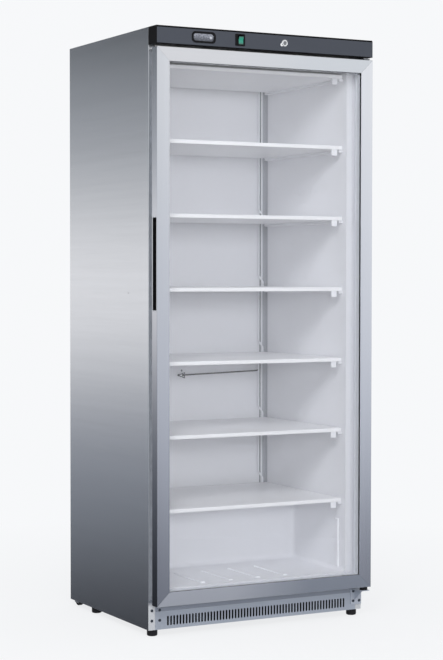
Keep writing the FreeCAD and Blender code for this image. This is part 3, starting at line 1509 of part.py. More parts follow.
def make_terminal_box():
    solid = block(
        "terminal_block", centred("box_x", "box_width"), ("box_back - box_depth", "box_back"),
        ("pan_top", "pan_top + box_height"))
    case = rounded("terminal_case", solid, "3",
                   lambda middle, along: near(middle.z, "pan_top + box_height") or abs(along.z) > 0.9)
    seat = block(
        "inlet_seat", centred("box_x", "inlet_width + fit_gap"), ("box_back - 22", "box_back + 1"),
        centred("inlet_z", "inlet_height + fit_gap"))
    node("terminal_box", cut("terminal_box", case, seat))
    body = block("inlet_body", centred("box_x", "inlet_width"), ("box_back - 22", "box_back + 2"),
                 centred("inlet_z", "inlet_height"))
    socket = block("inlet_socket", centred("box_x", "inlet_width - 4"), ("box_back - 14", "box_back + 3"),
                   centred("inlet_z", "inlet_height - 4"))
    blades = [
        block(f"inlet_blade_{number}", centred(f"box_x {across}", "2"), ("box_back - 16", "box_back - 1"),
              centred(f"inlet_z {up}", "4"))
        for number, (across, up) in enumerate((("- 7", "- 2"), ("+ 0", "+ 2"), ("+ 7", "- 2")))]
    node("power_inlet", fuse("power_inlet", cut("inlet_shell", body, socket), *blades))


def make_spacers():
    spacers = []
    for side, x in (("left", "-(inside - spacer_inset)"), ("right", "inside - spacer_inset")):
        for level, z in (("high", "spacer_height"), ("low", "bay_top + 90")):
            spacers.append(turned(f"wall_spacer_{side}_{level}", [
                ("0", "0"),
                ("spacer_radius", "0"),
                ("spacer_radius", "3"),
                ("spacer_radius * 0.6", "5"),
                ("spacer_radius / 2", "wall_standoff + steel_gauge - 2"),
                ("spacer_radius / 2 - 2", "wall_standoff + steel_gauge"),
                ("0", "wall_standoff + steel_gauge"),
            ], (x, "back - steel_gauge", z), TURNS["y"]))
    node("wall_spacers", group("wall_spacers", spacers))


make_shell()
make_screws()
make_chamber()
make_base()
make_door()
make_hinges()
make_fascia()
make_shelves()
make_tubes()
make_sensor()
make_compressor()
make_condenser()
make_fan()
make_terminal_box()
make_spacers()
doc.recompute()

for item in doc.Objects:
    if "Invalid" in item.State or "Error" in item.State:
        raise RuntimeError(f"{item.Name} did not build")
os.makedirs("parts", exist_ok=True)
for name, item in nodes.items():
    if item.Shape.isNull() or not item.Shape.isValid() or not item.Shape.Solids:
        raise RuntimeError(f"{name} is not a valid solid")
    item.Shape.exportStep(f"parts/{name}.step")
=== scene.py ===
"""Looks of a tall upright freezer with a glass door: finishes, small trim, stage and camera.

Lengths are in metres. The front faces -Y, the left side -X, and the floor is at Z = 0.
"""

import json
import math

import bmesh
import bpy
from mathutils import Matrix, Vector

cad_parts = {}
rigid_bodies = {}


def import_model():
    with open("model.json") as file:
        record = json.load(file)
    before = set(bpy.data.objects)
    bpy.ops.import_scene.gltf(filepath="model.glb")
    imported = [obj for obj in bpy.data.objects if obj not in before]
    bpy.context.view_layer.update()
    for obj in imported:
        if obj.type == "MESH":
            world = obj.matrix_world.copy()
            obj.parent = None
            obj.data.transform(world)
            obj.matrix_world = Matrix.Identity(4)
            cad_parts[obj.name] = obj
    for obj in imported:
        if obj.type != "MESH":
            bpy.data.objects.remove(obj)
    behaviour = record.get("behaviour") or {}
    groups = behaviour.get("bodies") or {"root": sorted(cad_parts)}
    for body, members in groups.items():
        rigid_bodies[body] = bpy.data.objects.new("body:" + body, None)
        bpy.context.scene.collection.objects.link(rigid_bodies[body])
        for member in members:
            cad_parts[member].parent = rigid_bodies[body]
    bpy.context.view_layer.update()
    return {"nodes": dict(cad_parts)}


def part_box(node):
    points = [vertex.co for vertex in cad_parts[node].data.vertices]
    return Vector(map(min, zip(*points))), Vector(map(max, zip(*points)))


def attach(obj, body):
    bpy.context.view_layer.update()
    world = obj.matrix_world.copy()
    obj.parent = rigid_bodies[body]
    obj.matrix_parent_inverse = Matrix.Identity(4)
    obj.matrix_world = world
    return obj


# Brushed metal: features in a metre across the brushing and along it.
FINE_ACROSS, FINE_ALONG = 1300.0, 5.0
BROAD_ACROSS, BROAD_ALONG = 45.0, 0.7
BRUSH_DEPTH = 0.000008
# Paint and mouldings: features in a metre.
PEEL_GRAIN, DRIFT_GRAIN = 700.0, 3.0
SHALLOW_PEEL, PEEL, COARSE_PEEL = 0.00002, 0.00003, 0.00005

# The blind rivet on the left side sheet.
RIVET_PLACE = (-0.3885, -0.1387, 1.064)
RIVET_RADIUS = 0.0024
RIVET_COLOUR = (0.03, 0.03, 0.035)
# The front returns of the side sheets lose their mirror between these heights.
SHEET_THICKNESS = 0.0008
RETURN_DULL_BELOW, RETURN_BRIGHT_ABOVE = 0.095, 0.108
SHADED_STRIP_TOP = 0.115  # top of the painted shade of the door: a grey strip on the front frame below the door

BACKGROUND = (0.93, 0.94, 0.955)
FLOOR_RADIUS = 30.0
FLOOR_GAP = 0.0005
SHADOW_NEAR, SHADOW_FAR = 0.5, 2.2  # the floor's shadow fades between these distances

# The camera that was fitted to the photograph.
CAMERA_PLACE = (-2.7458, -5.1754, 1.1263)
CAMERA_TURN = (1.5387, -0.0010, -0.4905)
SENSOR_WIDTH = 36.0
FOCAL_PIXELS = 1764.185
IMAGE_HEIGHT_PIXELS = 660.0
# The white chamber needs many bounces before its depth is as light as its front.
ALL_BOUNCES, DIFFUSE_BOUNCES = 20, 7

FILL_COLOUR, FILL_STRENGTH = (0.975, 0.98, 1.0), 0.66
THROUGH_GLASS_COLOUR, THROUGH_GLASS_STRENGTH = (0.965, 0.975, 1.0), 1.1
# What metal mirrors, by height: degrees over the horizon, strength, its red and its blue.
# One table goes over into the other between these parts of a direction along Y.
BEHIND_FROM, AHEAD_FROM = 0.25, -0.35
MIRRORED_BEHIND = (
    (-90, 0.42, 0.98, 1.03),
    (-21, 0.37, 0.97, 1.05),
    (-15, 0.05, 0.93, 1.18),
    (-12, 0.03, 0.93, 1.18),
    (-6, 0.33, 0.93, 1.15),
    (-0.5, 1.22, 1.02, 1.01),
    (5, 0.43, 0.95, 1.08),
    (9, 0.06, 0.9, 1.15),
    (30, 0.3, 1.0, 1.03),
)
MIRRORED_AHEAD = (
    (-90, 0.42, 0.98, 1.03),
    (-21, 0.37, 0.97, 1.05),
    (-14, 0.1, 0.92, 1.28),
    (-9, 0.16, 0.92, 1.26),
    (-5.8, 0.66, 0.96, 1.12),
    (0, 0.83, 0.98, 1.06),
    (8, 1.03, 1.0, 1.0),
    (30, 0.8, 1.0, 1.0),
    (90, 0.4, 1.0, 1.0),
)

for spare in list(bpy.data.objects):
    bpy.data.objects.remove(spare)
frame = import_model()


def combine(tree, operation, first, second=None):
    """Puts one value or two through a Math node. The second may be a plain number."""
    node = tree.nodes.new("ShaderNodeMath")
    node.operation = operation
    tree.links.new(first, node.inputs[0])
    if isinstance(second, float):
        node.inputs[1].default_value = second
    elif second is not None:
        tree.links.new(second, node.inputs[1])
    return node.outputs["Value"]


def choose(tree, factor, first, second):
    """The first shader where factor is 0, and the second where it is 1."""
    node = tree.nodes.new("ShaderNodeMixShader")
    tree.links.new(factor, node.inputs["Fac"])
    tree.links.new(first, node.inputs[1])
    tree.links.new(second, node.inputs[2])
    return node.outputs["Shader"]


def colour_ramp(tree, value, stops):
    """A ramp over value. Each stop is a position and a colour."""
    node = tree.nodes.new("ShaderNodeValToRGB")
    tree.links.new(value, node.inputs["Fac"])
    elements = node.color_ramp.elements
    while len(elements) < len(stops):
        elements.new(0.5)
    for element, (position, colour) in zip(elements, stops):
        element.position = position
        element.color = (*colour, 1.0)
    return node


class Finish:
    """One material. Every pattern in it reads Object coordinates."""

    def __init__(self, name, colour, roughness, metallic=0.0, **sockets):
        self.material = bpy.data.materials.new(name)
        self.material.use_nodes = True
        self.tree = self.material.node_tree
        self.shader = self.tree.nodes["Principled BSDF"]
        self.colour = colour
        self.bumps = None
        self.shader.inputs["Base Color"].default_value = (*colour, 1.0)
        self.shader.inputs["Roughness"].default_value = roughness
        self.shader.inputs["Metallic"].default_value = metallic
        for socket, value in sockets.items():
            self.shader.inputs[socket.replace("_", " ")].default_value = value

    def add(self, kind, **settings):
        node = self.tree.nodes.new(kind)
        for name, value in settings.items():
            setattr(node, name, value)
        return node

    def link(self, output, target):
        self.tree.links.new(output, target)

    def combine(self, operation, first, second=None):
        return combine(self.tree, operation, first, second)

    def place(self, scale=1.0, centre=(0.0, 0.0, 0.0)):
        """Object coordinates from centre, times one scale or one for each axis."""
        scales = scale if isinstance(scale, (list, tuple)) else (scale,) * 3
        coordinates = self.add("ShaderNodeTexCoord")
        mapping = self.add("ShaderNodeMapping")
        self.link(coordinates.outputs["Object"], mapping.inputs["Vector"])
        mapping.inputs["Scale"].default_value = scales
        mapping.inputs["Location"].default_value = [-c * s for c, s in zip(centre, scales)]
        return mapping.outputs["Vector"]

    def along(self, axis):
        """Object coordinate on one axis."""
        split = self.add("ShaderNodeSeparateXYZ")
        self.link(self.place(), split.inputs["Vector"])
        return split.outputs[axis]

    def past(self, axis, start, end):
        """0 up to start on that axis, and 1 past end."""
        return self.spread(self.along(axis), 0.0, 1.0, start, end)

    def until(self, axis, start, end):
        """1 up to start on that axis, and 0 past end."""
        return self.spread(self.along(axis), 1.0, 0.0, start, end)

    def grain(self, scale, detail=2.0):
        """Noise with that many features in a metre, the same or one number for each axis."""
        noise = self.add("ShaderNodeTexNoise")
        self.link(self.place(scale), noise.inputs["Vector"])
        noise.inputs["Scale"].default_value = 1.0
        noise.inputs["Detail"].default_value = detail
        return noise.outputs["Fac"]

    def cells(self, scale):
        """Crystals or bubbles, that many in a metre."""
        cells = self.add("ShaderNodeTexVoronoi")
        self.link(self.place(scale), cells.inputs["Vector"])
        cells.inputs["Scale"].default_value = 1.0
        return cells

    def spread(self, value, low, high, start=0.3, end=0.7):
        """A number from low to high as value goes from start to end."""
        spread = self.add("ShaderNodeMapRange")
        self.link(value, spread.inputs["Value"])
        for name, number in (("From Min", start), ("From Max", end),
                             ("To Min", low), ("To Max", high)):
            spread.inputs[name].default_value = number
        return spread.outputs["Result"]

    def tint(self, value, *stops):
        """Colours the base by value. Each stop is a position and a colour."""
        ramp = colour_ramp(self.tree, value, stops)
        self.link(ramp.outputs["Color"], self.shader.inputs["Base Color"])

    def shade(self, value, low, high, start=0.3, end=0.7):
        """The base colour, from low to high times its own value."""
        dark, light = (tuple(min(1.0, part * share) for part in self.colour)
                       for share in (low, high))
        self.tint(value, (start, dark), (end, light))

    def gloss(self, value, low, high, start=0.3, end=0.7):
        self.link(self.spread(value, low, high, start, end), self.shader.inputs["Roughness"])

    def relief(self, value, distance, strength):
        """Bumps of that height, over the bumps that are there already."""
        bump = self.add("ShaderNodeBump")
        bump.inputs["Strength"].default_value = strength
        bump.inputs["Distance"].default_value = distance
        self.link(value, bump.inputs["Height"])
        if self.bumps is not None:
            self.link(self.bumps, bump.inputs["Normal"])
        self.bumps = bump.outputs["Normal"]
        self.link(self.bumps, self.shader.inputs["Normal"])

    def overlay(self, share, colour):
        """Lays another colour over the patterned base where share is 1."""
        mix = self.add("ShaderNodeMix", data_type="RGBA")
        base = self.shader.inputs["Base Color"]
        self.link(base.links[0].from_socket, mix.inputs["A"])
        mix.inputs["B"].default_value = (*colour, 1.0)
        self.link(share, mix.inputs["Factor"])
        self.link(mix.outputs["Result"], base)

    def spot(self, centre, radius, colour):
        """A small round mark, such as the head of a blind rivet."""
        reach = self.add("ShaderNodeVectorMath", operation="LENGTH")
        self.link(self.place(centre=centre), reach.inputs[0])
        inside = self.spread(reach.outputs["Value"], 1.0, 0.0, radius * 0.8, radius)
        self.overlay(inside, colour)


# ---- finishes ----

def brushed(name, colour, roughness, along, shades=(0.96, 1.04), metallic=1.0, calm=False):
    """Metal brushed along the named axes. A calm one shows its lines in the shade only."""
    finish = Finish(name, colour, roughness, metallic)
    fine = finish.grain([FINE_ALONG if axis in along else FINE_ACROSS for axis in "xyz"])
    broad = finish.grain([BROAD_ALONG if axis in along else BROAD_ACROSS for axis in "xyz"])
    both = finish.combine("MULTIPLY", finish.spread(fine, 0.8, 1.2), broad)
    finish.shade(both, *shades, start=0.25, end=0.75)
    if not calm:
        finish.gloss(fine, roughness - 0.02, roughness + 0.03)
        finish.relief(fine, BRUSH_DEPTH, 0.4)
    return finish


def painted(name, colour, roughness, peel=SHALLOW_PEEL, shades=(0.985, 1.01), metallic=0.0,
            specular=0.5):
    """Paint or a moulded skin with a faint texture and a slow drift of its shade."""
    finish = Finish(name, colour, roughness, metallic, Specular_IOR_Level=specular)
    finish.shade(finish.grain(DRIFT_GRAIN), *shades)
    peel_grain = finish.grain(PEEL_GRAIN)
    finish.relief(peel_grain, peel, 0.6)
    finish.gloss(peel_grain, roughness - 0.04, roughness + 0.05)
    return finish


def rubber(name, colour):
    roughness = 0.7
    finish = Finish(name, colour, roughness)
    finish.shade(finish.grain(60.0, detail=3.0), 0.85, 1.2)
    finish.relief(finish.grain(900.0), 0.00004, 0.6)
    finish.gloss(finish.grain(25.0), roughness - 0.07, roughness + 0.06)
    return finish


def side_steel():
    """Side sheets: level grain, a blind rivet on the left one, a duller return in front."""
    finish = brushed("brushed_side_steel", (0.60, 0.62, 0.645), 0.19, "xy", (0.975, 1.02))
    finish.spot(RIVET_PLACE, RIVET_RADIUS, RIVET_COLOUR)
    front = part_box("side_panel_left")[0].y
    on_return = finish.until("Y", front + SHEET_THICKNESS, front + 2.0 * SHEET_THICKNESS)
    dull = finish.spread(finish.along("Z"), 0.8, 0.08, RETURN_DULL_BELOW, RETURN_BRIGHT_ABOVE)
    dull_return = finish.combine("MULTIPLY", on_return, dull)
    finish.link(finish.spread(dull_return, 1.0, 0.0, 0.0, 1.0), finish.shader.inputs["Metallic"])
    return finish


def galvanised():
    """Zinc spangle: flat crystals of a centimetre or two, each of its own grey."""
    finish = Finish("galvanised_sheet", (0.55, 0.565, 0.585), 0.4, 1.0)
    crystals = finish.cells(90.0)
    share = finish.add("ShaderNodeSeparateColor")
    finish.link(crystals.outputs["Color"], share.inputs["Color"])
    finish.shade(share.outputs["Red"], 0.86, 1.1, start=0.0, end=1.0)
    finish.gloss(share.outputs["Green"], 0.33, 0.48, start=0.0, end=1.0)
    finish.relief(finish.grain(400.0), 0.00002, 0.4)
    return finish


def frame_coating():
    """White sheet around the chamber, with painted shade from the door: grey on the strip that
    shows below it.
    """
    finish = painted("frame_coating", (0.76, 0.765, 0.79), 0.34)
    door_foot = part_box("door_rail_bottom")[0].z
    # Painted shade cast by the door: the strip below it is grey.
    finish.overlay(finish.until("Z", door_foot, SHADED_STRIP_TOP), (0.24, 0.265, 0.32))
    return finish


def liner_moulding():
    """White moulding with painted shade in the rear right corner and a painted shadow line
    behind the tubes.
    """
    finish = painted("liner_moulding", (0.86, 0.865, 0.89), 0.38)
    low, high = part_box("shelf_tubes")

    def both(first, second):
        return finish.combine("MULTIPLY", first, second)

    # Up from the lowest bend of the tubes.
    among_shelves = finish.past("Z", low.z + 0.026, low.z + 0.032)
    # Painted corner shade: to the right of the tubes, and along the rearmost part of the right
    # wall.
    corner = both(finish.past("X", high.x + 0.001, high.x + 0.006),
                  finish.past("Y", high.y - 0.019, high.y - 0.014))
    finish.overlay(both(corner, among_shelves), (0.42, 0.435, 0.475))
    # A narrow upright line of painted shadow on the back wall, behind the tubes' right edge.
    shadow_line_middle, shadow_line_inner, shadow_line_outer = high.x - 0.005, 0.0014, 0.0026
    from_shadow_line = finish.combine("SUBTRACT", finish.along("X"), shadow_line_middle)
    from_shadow_line = finish.combine("ABSOLUTE", from_shadow_line)
    shadow_line = both(finish.spread(from_shadow_line, 1.0, 0.0, shadow_line_inner, shadow_line_outer),
                 finish.past("Y", high.y - 0.002, high.y))
    finish.overlay(both(shadow_line, among_shelves), (0.1, 0.11, 0.13))
    return finish


def insulation():
    finish = Finish("closed_cell_foam", (0.78, 0.68, 0.45), 0.85)
    cells = finish.cells(700.0)
    finish.shade(cells.outputs["Distance"], 0.85, 1.08, start=0.1, end=0.8)
    finish.relief(cells.outputs["Distance"], 0.0003, 0.6)
    return finish


def stile_metal(name, colour):
    """Anodised stile with painted shade on its narrow outer edge, darkest low down."""
    finish = brushed(name, colour, 0.19, "z", (0.975, 1.02), calm=True)
    half_width = -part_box("door_stile_left")[0].x
    from_middle = finish.combine("ABSOLUTE", finish.along("X"))
    side_face = finish.spread(from_middle, 0.0, 1.0, half_width - 0.0012, half_width - 0.0006)
    shade_low_down = finish.until("Z", 0.22, 1.3)
    # Painted shade: the outer edge is darker, and much darker low down.
    finish.overlay(side_face, (0.62, 0.64, 0.68))
    finish.overlay(finish.combine("MULTIPLY", side_face, shade_low_down), (0.13, 0.14, 0.165))
    return finish


def rail_metal(name, roughness, left, right):
    """Anodised rail with a painted reflection: its shade goes from the left colour to the right
    one along its length.
    """
    finish = brushed(name, left, roughness, "x", (0.985, 1.015), calm=True)
    finish.overlay(finish.past("X", -0.12, 0.16), right)
    return finish


def clear_pane():
    """Float glass that lets the lamps through to what is behind it."""
    finish = Finish("clear_pane", (0.99, 0.993, 1.0), 0.0, Transmission_Weight=1.0, IOR=1.45)
    smear = finish.grain((5.0, 5.0, 2.0), detail=3.0)
    finish.gloss(smear, 0.0, 0.012, start=0.45, end=0.8)
    lets_through = finish.add("ShaderNodeBsdfTransparent")
    lets_through.inputs["Color"].default_value = (0.985, 0.988, 0.995, 1.0)
    rays = finish.add("ShaderNodeLightPath")
    shown = choose(finish.tree, rays.outputs["Is Shadow Ray"],
                   finish.shader.outputs["BSDF"], lets_through.outputs["BSDF"])
    finish.link(shown, finish.tree.nodes["Material Output"].inputs["Surface"])
    return finish


def display_plate():
    """Smoked cover of the thermostat, with a painted reflection that lightens it towards its
    upper edge.
    """
    finish = Finish("display_plate", (0.2, 0.215, 0.25), 0.3, Coat_Weight=0.2)
    low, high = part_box("thermostat_face")
    # Painted reflection: lighter towards the upper edge.
    reflection_rise = finish.past("Z", low.z, high.z)
    cloud_grain = finish.grain((170.0, 170.0, 260.0), detail=3.0)
    cloud = finish.spread(cloud_grain, -0.25, 0.3, start=0.35, end=0.65)
    finish.tint(finish.combine("ADD", reflection_rise, cloud), (0.0, (0.05, 0.055, 0.07)),
                (0.45, (0.10, 0.108, 0.13)), (1.0, (0.27, 0.285, 0.33)))
    finish.relief(finish.grain(500.0), 0.00002, 0.3)
    return finish


def green_lens():
    """Green signal lens, clearest in its middle and greyer at its two ends."""
    finish = Finish("green_lens", (0.03, 0.27, 0.19), 0.18, Coat_Weight=0.5)
    low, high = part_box("switch_lens")
    finish.tint(finish.past("Z", low.z, high.z), (0.0, (0.03, 0.09, 0.07)),
                (0.25, (0.01, 0.2, 0.14)), (0.7, (0.015, 0.25, 0.165)),
                (1.0, (0.06, 0.14, 0.12)))
    finish.relief(finish.grain((300.0, 20.0, 600.0)), 0.00005, 0.4)
    return finish


def chrome():
    finish = Finish("polished_chrome", (0.86, 0.87, 0.89), 0.1, 1.0)
    scuffs = finish.grain(300.0, detail=4.0)
    finish.gloss(scuffs, 0.06, 0.16)
    finish.shade(scuffs, 0.97, 1.02)
    return finish


def copper():
    """Drawn tube, browner in patches and brighter between them."""
    bare = (0.72, 0.36, 0.21)
    finish = brushed("drawn_copper", bare, 0.3, "xyz", (0.8, 1.1))
    tarnish = finish.grain(40.0, detail=4.0)
    finish.tint(tarnish, (0.3, (0.45, 0.2, 0.12)), (0.6, bare), (0.8, (0.8, 0.45, 0.3)))
    return finish


def handle_moulding():
    """Black grip with a painted highlight: a pale line at each of its two ends."""
    finish = painted("handle_moulding", (0.006, 0.006, 0.007), 0.45, PEEL, (0.9, 1.1),
                     specular=0.15)
    low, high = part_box("handle_insert")
    # Painted highlight: a pale line at each end of the grip.
    for start, end in ((low.z + 0.0035, low.z + 0.002), (high.z - 0.003, high.z - 0.0015)):
        finish.overlay(finish.past("Z", start, end), (0.5, 0.52, 0.56))
    return finish


def fascia_skin():
    """Black moulding whose front face carries a grained grey film."""
    finish = painted("fascia_skin", (0.060, 0.066, 0.080), 0.42, PEEL, (0.94, 1.05))
    finish.shader.inputs["IOR"].default_value = 1.15
    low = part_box("fascia_panel")[0]
    behind = finish.past("Y", low.y + 0.0004, low.y + 0.0009)
    below = finish.until("Z", low.z + 0.0008, low.z + 0.0016)
    finish.overlay(finish.combine("MAXIMUM", behind, below), (0.005, 0.0052, 0.006))
    finish.relief(finish.grain(2600.0, detail=1.0), 0.00003, 0.5)
    return finish


FINISHES = {
    "side_steel": side_steel(),
    "galvanised": galvanised(),
    "white_sheet": frame_coating(),
    "liner_white": liner_moulding(),
    "foam": insulation(),
    "shelf_white": painted("shelf_coating", (0.925, 0.925, 0.935), 0.36),
    "tube_white": painted("tube_coating", (0.86, 0.87, 0.90), 0.36),
    "kick_silver": painted("kick_paint", (0.475, 0.52, 0.595), 0.42, PEEL, (0.96, 1.04),
                           metallic=0.6),
    "seal_black": rubber("seal_rubber", (0.012, 0.012, 0.014)),
    "gasket_grey": rubber("gasket_rubber", (0.74, 0.76, 0.8)),
    "pane": clear_pane(),
    "spacer_metal": brushed("spacer_metal", (0.74, 0.76, 0.80), 0.42, "xz", metallic=0.1),
    "frame_plastic": painted("inner_frame_plastic", (0.80, 0.82, 0.86), 0.4),
    "handle_black": handle_moulding(),
    "fascia_grey": fascia_skin(),
    "control_black": painted("control_plastic", (0.004, 0.004, 0.005), 0.35, SHALLOW_PEEL,
                             (0.9, 1.1), specular=0.15),
    "control_plate": display_plate(),
    "lens_green": green_lens(),
    "lock_chrome": chrome(),
    "screw_dark": brushed("blackened_screw", (0.1, 0.115, 0.14), 0.4, "x"),
    "zinc": brushed("zinc_plate", (0.52, 0.54, 0.57), 0.38, "xz", (0.85, 1.08)),
    "black_plastic": painted("black_moulding", (0.010, 0.010, 0.012), 0.5, COARSE_PEEL,
                             (0.85, 1.15), specular=0.3),
    "black_paint": painted("black_enamel", (0.012, 0.012, 0.014), 0.3, PEEL, (0.85, 1.15)),
    "mount_rubber": rubber("mount_rubber", (0.02, 0.02, 0.021)),
    "fin_metal": brushed("fin_metal", (0.6, 0.61, 0.63), 0.35, "xz"),
    "copper_tube": copper(),
}
NODE_FINISHES = {
    # Painted reflection: the right stile is given a lighter shade than the left one.
    "door_stile_left": stile_metal("left_stile_metal", (0.66, 0.68, 0.72)),
    "door_stile_right": stile_metal("right_stile_metal", (0.77, 0.79, 0.83)),
    # Painted reflection: each rail goes from a lighter left end to a darker right end.
    "door_rail_top": rail_metal("top_rail_metal", 0.19, (0.69, 0.70, 0.73), (0.64, 0.67, 0.71)),
    "door_rail_bottom": rail_metal("bottom_rail_metal", 0.27, (0.92, 0.94, 0.98),
                                   (0.56, 0.60, 0.66)),
    "sensor_cable": painted("cable_sheath", (0.012, 0.012, 0.014), 0.6, specular=0.1),
    "hinge_bracket_bottom": painted("bracket_plating", (0.52, 0.56, 0.63), 0.36, PEEL,
                                    (0.95, 1.04), metallic=0.5),
    "thermostat_key": painted("key_plastic", (0.42, 0.44, 0.48), 0.3),
    # The base pan is black: painted shade, so that the bay seen through the kick grille is dark.
    "base_pan": painted("shade_black_pan", (0.006, 0.006, 0.007), 0.8, COARSE_PEEL,
                        (0.8, 1.2), specular=0.08),
    "lock_plug": brushed("lock_core_steel", (0.30, 0.31, 0.33), 0.3, "xz"),
}

for name, part in frame["nodes"].items():
    for place in range(len(part.data.materials)):
        slot = part.data.materials[place].name.split(".")[0]
        finish = NODE_FINISHES.get(name) or FINISHES[slot]
        part.data.materials[place] = finish.material

# ---- small trim ----

def add_piece(name, body, slot, mesh):
    data = bpy.data.meshes.new(name)
    mesh.to_mesh(data)
    mesh.free()
    piece = bpy.data.objects.new(name, data)
    bpy.context.scene.collection.objects.link(piece)
    data.materials.append(FINISHES[slot].material)
    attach(piece, body)


def wire_loop(name, body, slot, points, radius):
    """Thin bent wire that runs through the points and back to the first."""
    mesh = bmesh.new()
    for start, end in zip(points, points[1:] + points[:1]):
        start, end = Vector(start), Vector(end)
        turn = (end - start).to_track_quat("Z", "Y").to_matrix().to_4x4()
        middle = Matrix.Translation((start + end) / 2)
        bmesh.ops.create_cone(mesh, cap_ends=True, segments=12, radius1=radius, radius2=radius,
                              depth=(end - start).length, matrix=middle @ turn)
        bmesh.ops.create_uvsphere(mesh, u_segments=12, v_segments=8, radius=radius,
                                  matrix=Matrix.Translation(start))
    add_piece(name, body, slot, mesh)


def round_head(name, body, slot, centre, radius, height):
    """Low round screw head that faces the front."""
    mesh = bmesh.new()
    to_front = Matrix.Rotation(math.radians(90), 4, "X")
    bmesh.ops.create_cone(mesh, cap_ends=True, segments=24, radius1=radius,
                          radius2=radius * 0.7, depth=height,
                          matrix=Matrix.Translation(centre) @ to_front)
    add_piece(name, body, slot, mesh)


def dress_sensor():
    """Wire that springs over the sensor's holder, and the screw above it."""
    low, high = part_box("sensor_clip")
    middle = (low.z + high.z) / 2
    front = low.y - 0.0012
    tip = low.x - 0.0005
    bends = high.x + 0.002
    wire_loop("sensor_spring", "cabinet", "screw_dark",
              [(tip, front, middle), (bends, front, middle + 0.0085),
               (bends, front, middle - 0.0095)], radius=0.0014)
    screw = (high.x - 0.004, high.y - 0.001, middle + 0.0155)
    round_head("sensor_screw", "cabinet", "screw_dark", screw, radius=0.0034, height=0.002)


dress_sensor()

# ---- stage ----

def seen_by_camera(tree):
    """1 for what the camera sees, itself or through the glass, and 0 for gathered light."""
    rays = tree.nodes.new("ShaderNodeLightPath")
    straight = combine(tree, "LESS_THAN", rays.outputs["Diffuse Depth"], 0.5)
    through = combine(tree, "MULTIPLY", rays.outputs["Is Transmission Ray"], straight)
    return combine(tree, "MAXIMUM", rays.outputs["Is Camera Ray"], through)


def stage_floor():
    """A plain pale floor that keeps the soft shadow near the object."""
    mesh = bmesh.new()
    bmesh.ops.create_circle(mesh, cap_ends=True, segments=96, radius=FLOOR_RADIUS)
    data = bpy.data.meshes.new("stage_floor")
    mesh.to_mesh(data)
    mesh.free()
    floor = bpy.data.objects.new("stage_floor", data)
    bpy.context.scene.collection.objects.link(floor)
    floor.location.z = -FLOOR_GAP
    finish = Finish("pale_floor", (0.6, 0.6, 0.61), 0.9)
    glow = finish.add("ShaderNodeEmission")
    glow.inputs["Color"].default_value = (*BACKGROUND, 1.0)
    lit = finish.add("ShaderNodeBsdfDiffuse")
    lit.inputs["Color"].default_value = (0.9, 0.9, 0.9, 1.0)
    distance = finish.add("ShaderNodeVectorMath", operation="LENGTH")
    finish.link(finish.place(), distance.inputs[0])
    fade = finish.spread(distance.outputs["Value"], 0.85, 1.0, SHADOW_NEAR, SHADOW_FAR)
    shown = choose(finish.tree, fade, lit.outputs["BSDF"], glow.outputs["Emission"])
    surface = choose(finish.tree, seen_by_camera(finish.tree),
                     finish.shader.outputs["BSDF"], shown)
    finish.link(surface, finish.tree.nodes["Material Output"].inputs["Surface"])
    data.materials.append(finish.material)
    floor.visible_glossy = False


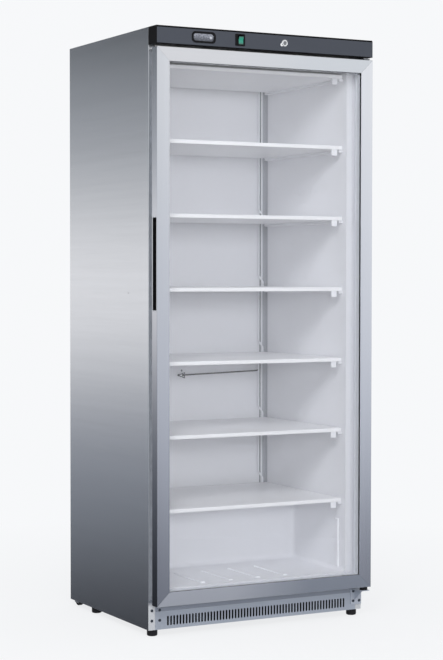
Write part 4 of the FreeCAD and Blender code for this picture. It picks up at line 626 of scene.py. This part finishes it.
def studio_world():
    """Pale background. Metal mirrors a horizon in bands, glass and all else get a soft fill."""
    world = bpy.data.worlds.new("studio")
    bpy.context.scene.world = world
    world.use_nodes = True
    tree = world.node_tree
    tree.nodes.clear()
    output = tree.nodes.new("ShaderNodeOutputWorld")
    rays = tree.nodes.new("ShaderNodeLightPath")
    direction = tree.nodes.new("ShaderNodeTexCoord")
    split = tree.nodes.new("ShaderNodeSeparateXYZ")
    tree.links.new(direction.outputs["Generated"], split.inputs["Vector"])

    def by_height(bands):
        height = tree.nodes.new("ShaderNodeMapRange")
        height.inputs["From Min"].default_value = -1.0
        tree.links.new(split.outputs["Z"], height.inputs["Value"])
        stops = [((math.sin(math.radians(angle)) + 1.0) / 2.0,
                  (value * red, value, value * blue)) for angle, value, red, blue in bands]
        node = colour_ramp(tree, height.outputs["Result"], stops)
        node.color_ramp.interpolation = "EASE"
        return node.outputs["Color"]

    def background(colour, strength=1.0):
        node = tree.nodes.new("ShaderNodeBackground")
        node.inputs["Strength"].default_value = strength
        if isinstance(colour, tuple):
            node.inputs["Color"].default_value = (*colour, 1.0)
        else:
            tree.links.new(colour, node.inputs["Color"])
        return node.outputs["Background"]

    side = tree.nodes.new("ShaderNodeMapRange")
    side.inputs["From Min"].default_value = BEHIND_FROM
    side.inputs["From Max"].default_value = AHEAD_FROM
    tree.links.new(split.outputs["Y"], side.inputs["Value"])
    around = tree.nodes.new("ShaderNodeMix")
    around.data_type = "RGBA"
    tree.links.new(side.outputs["Result"], around.inputs["Factor"])
    tree.links.new(by_height(MIRRORED_BEHIND), around.inputs["A"])
    tree.links.new(by_height(MIRRORED_AHEAD), around.inputs["B"])

    fill = background(FILL_COLOUR, FILL_STRENGTH)
    through_glass = background(THROUGH_GLASS_COLOUR, THROUGH_GLASS_STRENGTH)
    gathered = choose(tree, rays.outputs["Is Glossy Ray"], fill,
                      background(around.outputs["Result"]))
    gathered = choose(tree, rays.outputs["Is Transmission Ray"], gathered, through_glass)
    shown = choose(tree, seen_by_camera(tree), gathered, background(BACKGROUND))
    tree.links.new(shown, output.inputs["Surface"])


def softbox(name, place, target, size, watts):
    """A lamp that lights surfaces and isn't mirrored in them."""
    light = bpy.data.lights.new(name, "AREA")
    light.shape = "RECTANGLE"
    light.size, light.size_y = size
    light.energy = watts
    lamp = bpy.data.objects.new(name, light)
    bpy.context.scene.collection.objects.link(lamp)
    lamp.location = place
    aim = Vector(target) - Vector(place)
    lamp.rotation_euler = aim.to_track_quat("-Z", "Y").to_euler()
    lamp.visible_glossy = False
    lamp.visible_transmission = False


def photograph_camera():
    data = bpy.data.cameras.new("photograph_camera")
    camera = bpy.data.objects.new("photograph_camera", data)
    bpy.context.scene.collection.objects.link(camera)
    camera.location = CAMERA_PLACE
    camera.rotation_euler = CAMERA_TURN
    data.sensor_width = SENSOR_WIDTH
    data.lens = SENSOR_WIDTH * FOCAL_PIXELS / IMAGE_HEIGHT_PIXELS
    bpy.context.scene.camera = camera


stage_floor()
studio_world()
softbox("high_key", place=(-2.4, -3.6, 3.25), target=(0.0, 0.0, 0.7), size=(1.4, 1.4),
        watts=98.0)
softbox("level_fill", place=(-2.4, -7.5, 1.8), target=(0.0, 0.0, 1.2), size=(3.0, 1.2),
        watts=178.0)
photograph_camera()
bpy.context.scene.view_settings.view_transform = "Standard"
bpy.context.scene.cycles.max_bounces = ALL_BOUNCES
bpy.context.scene.cycles.diffuse_bounces = DIFFUSE_BOUNCES
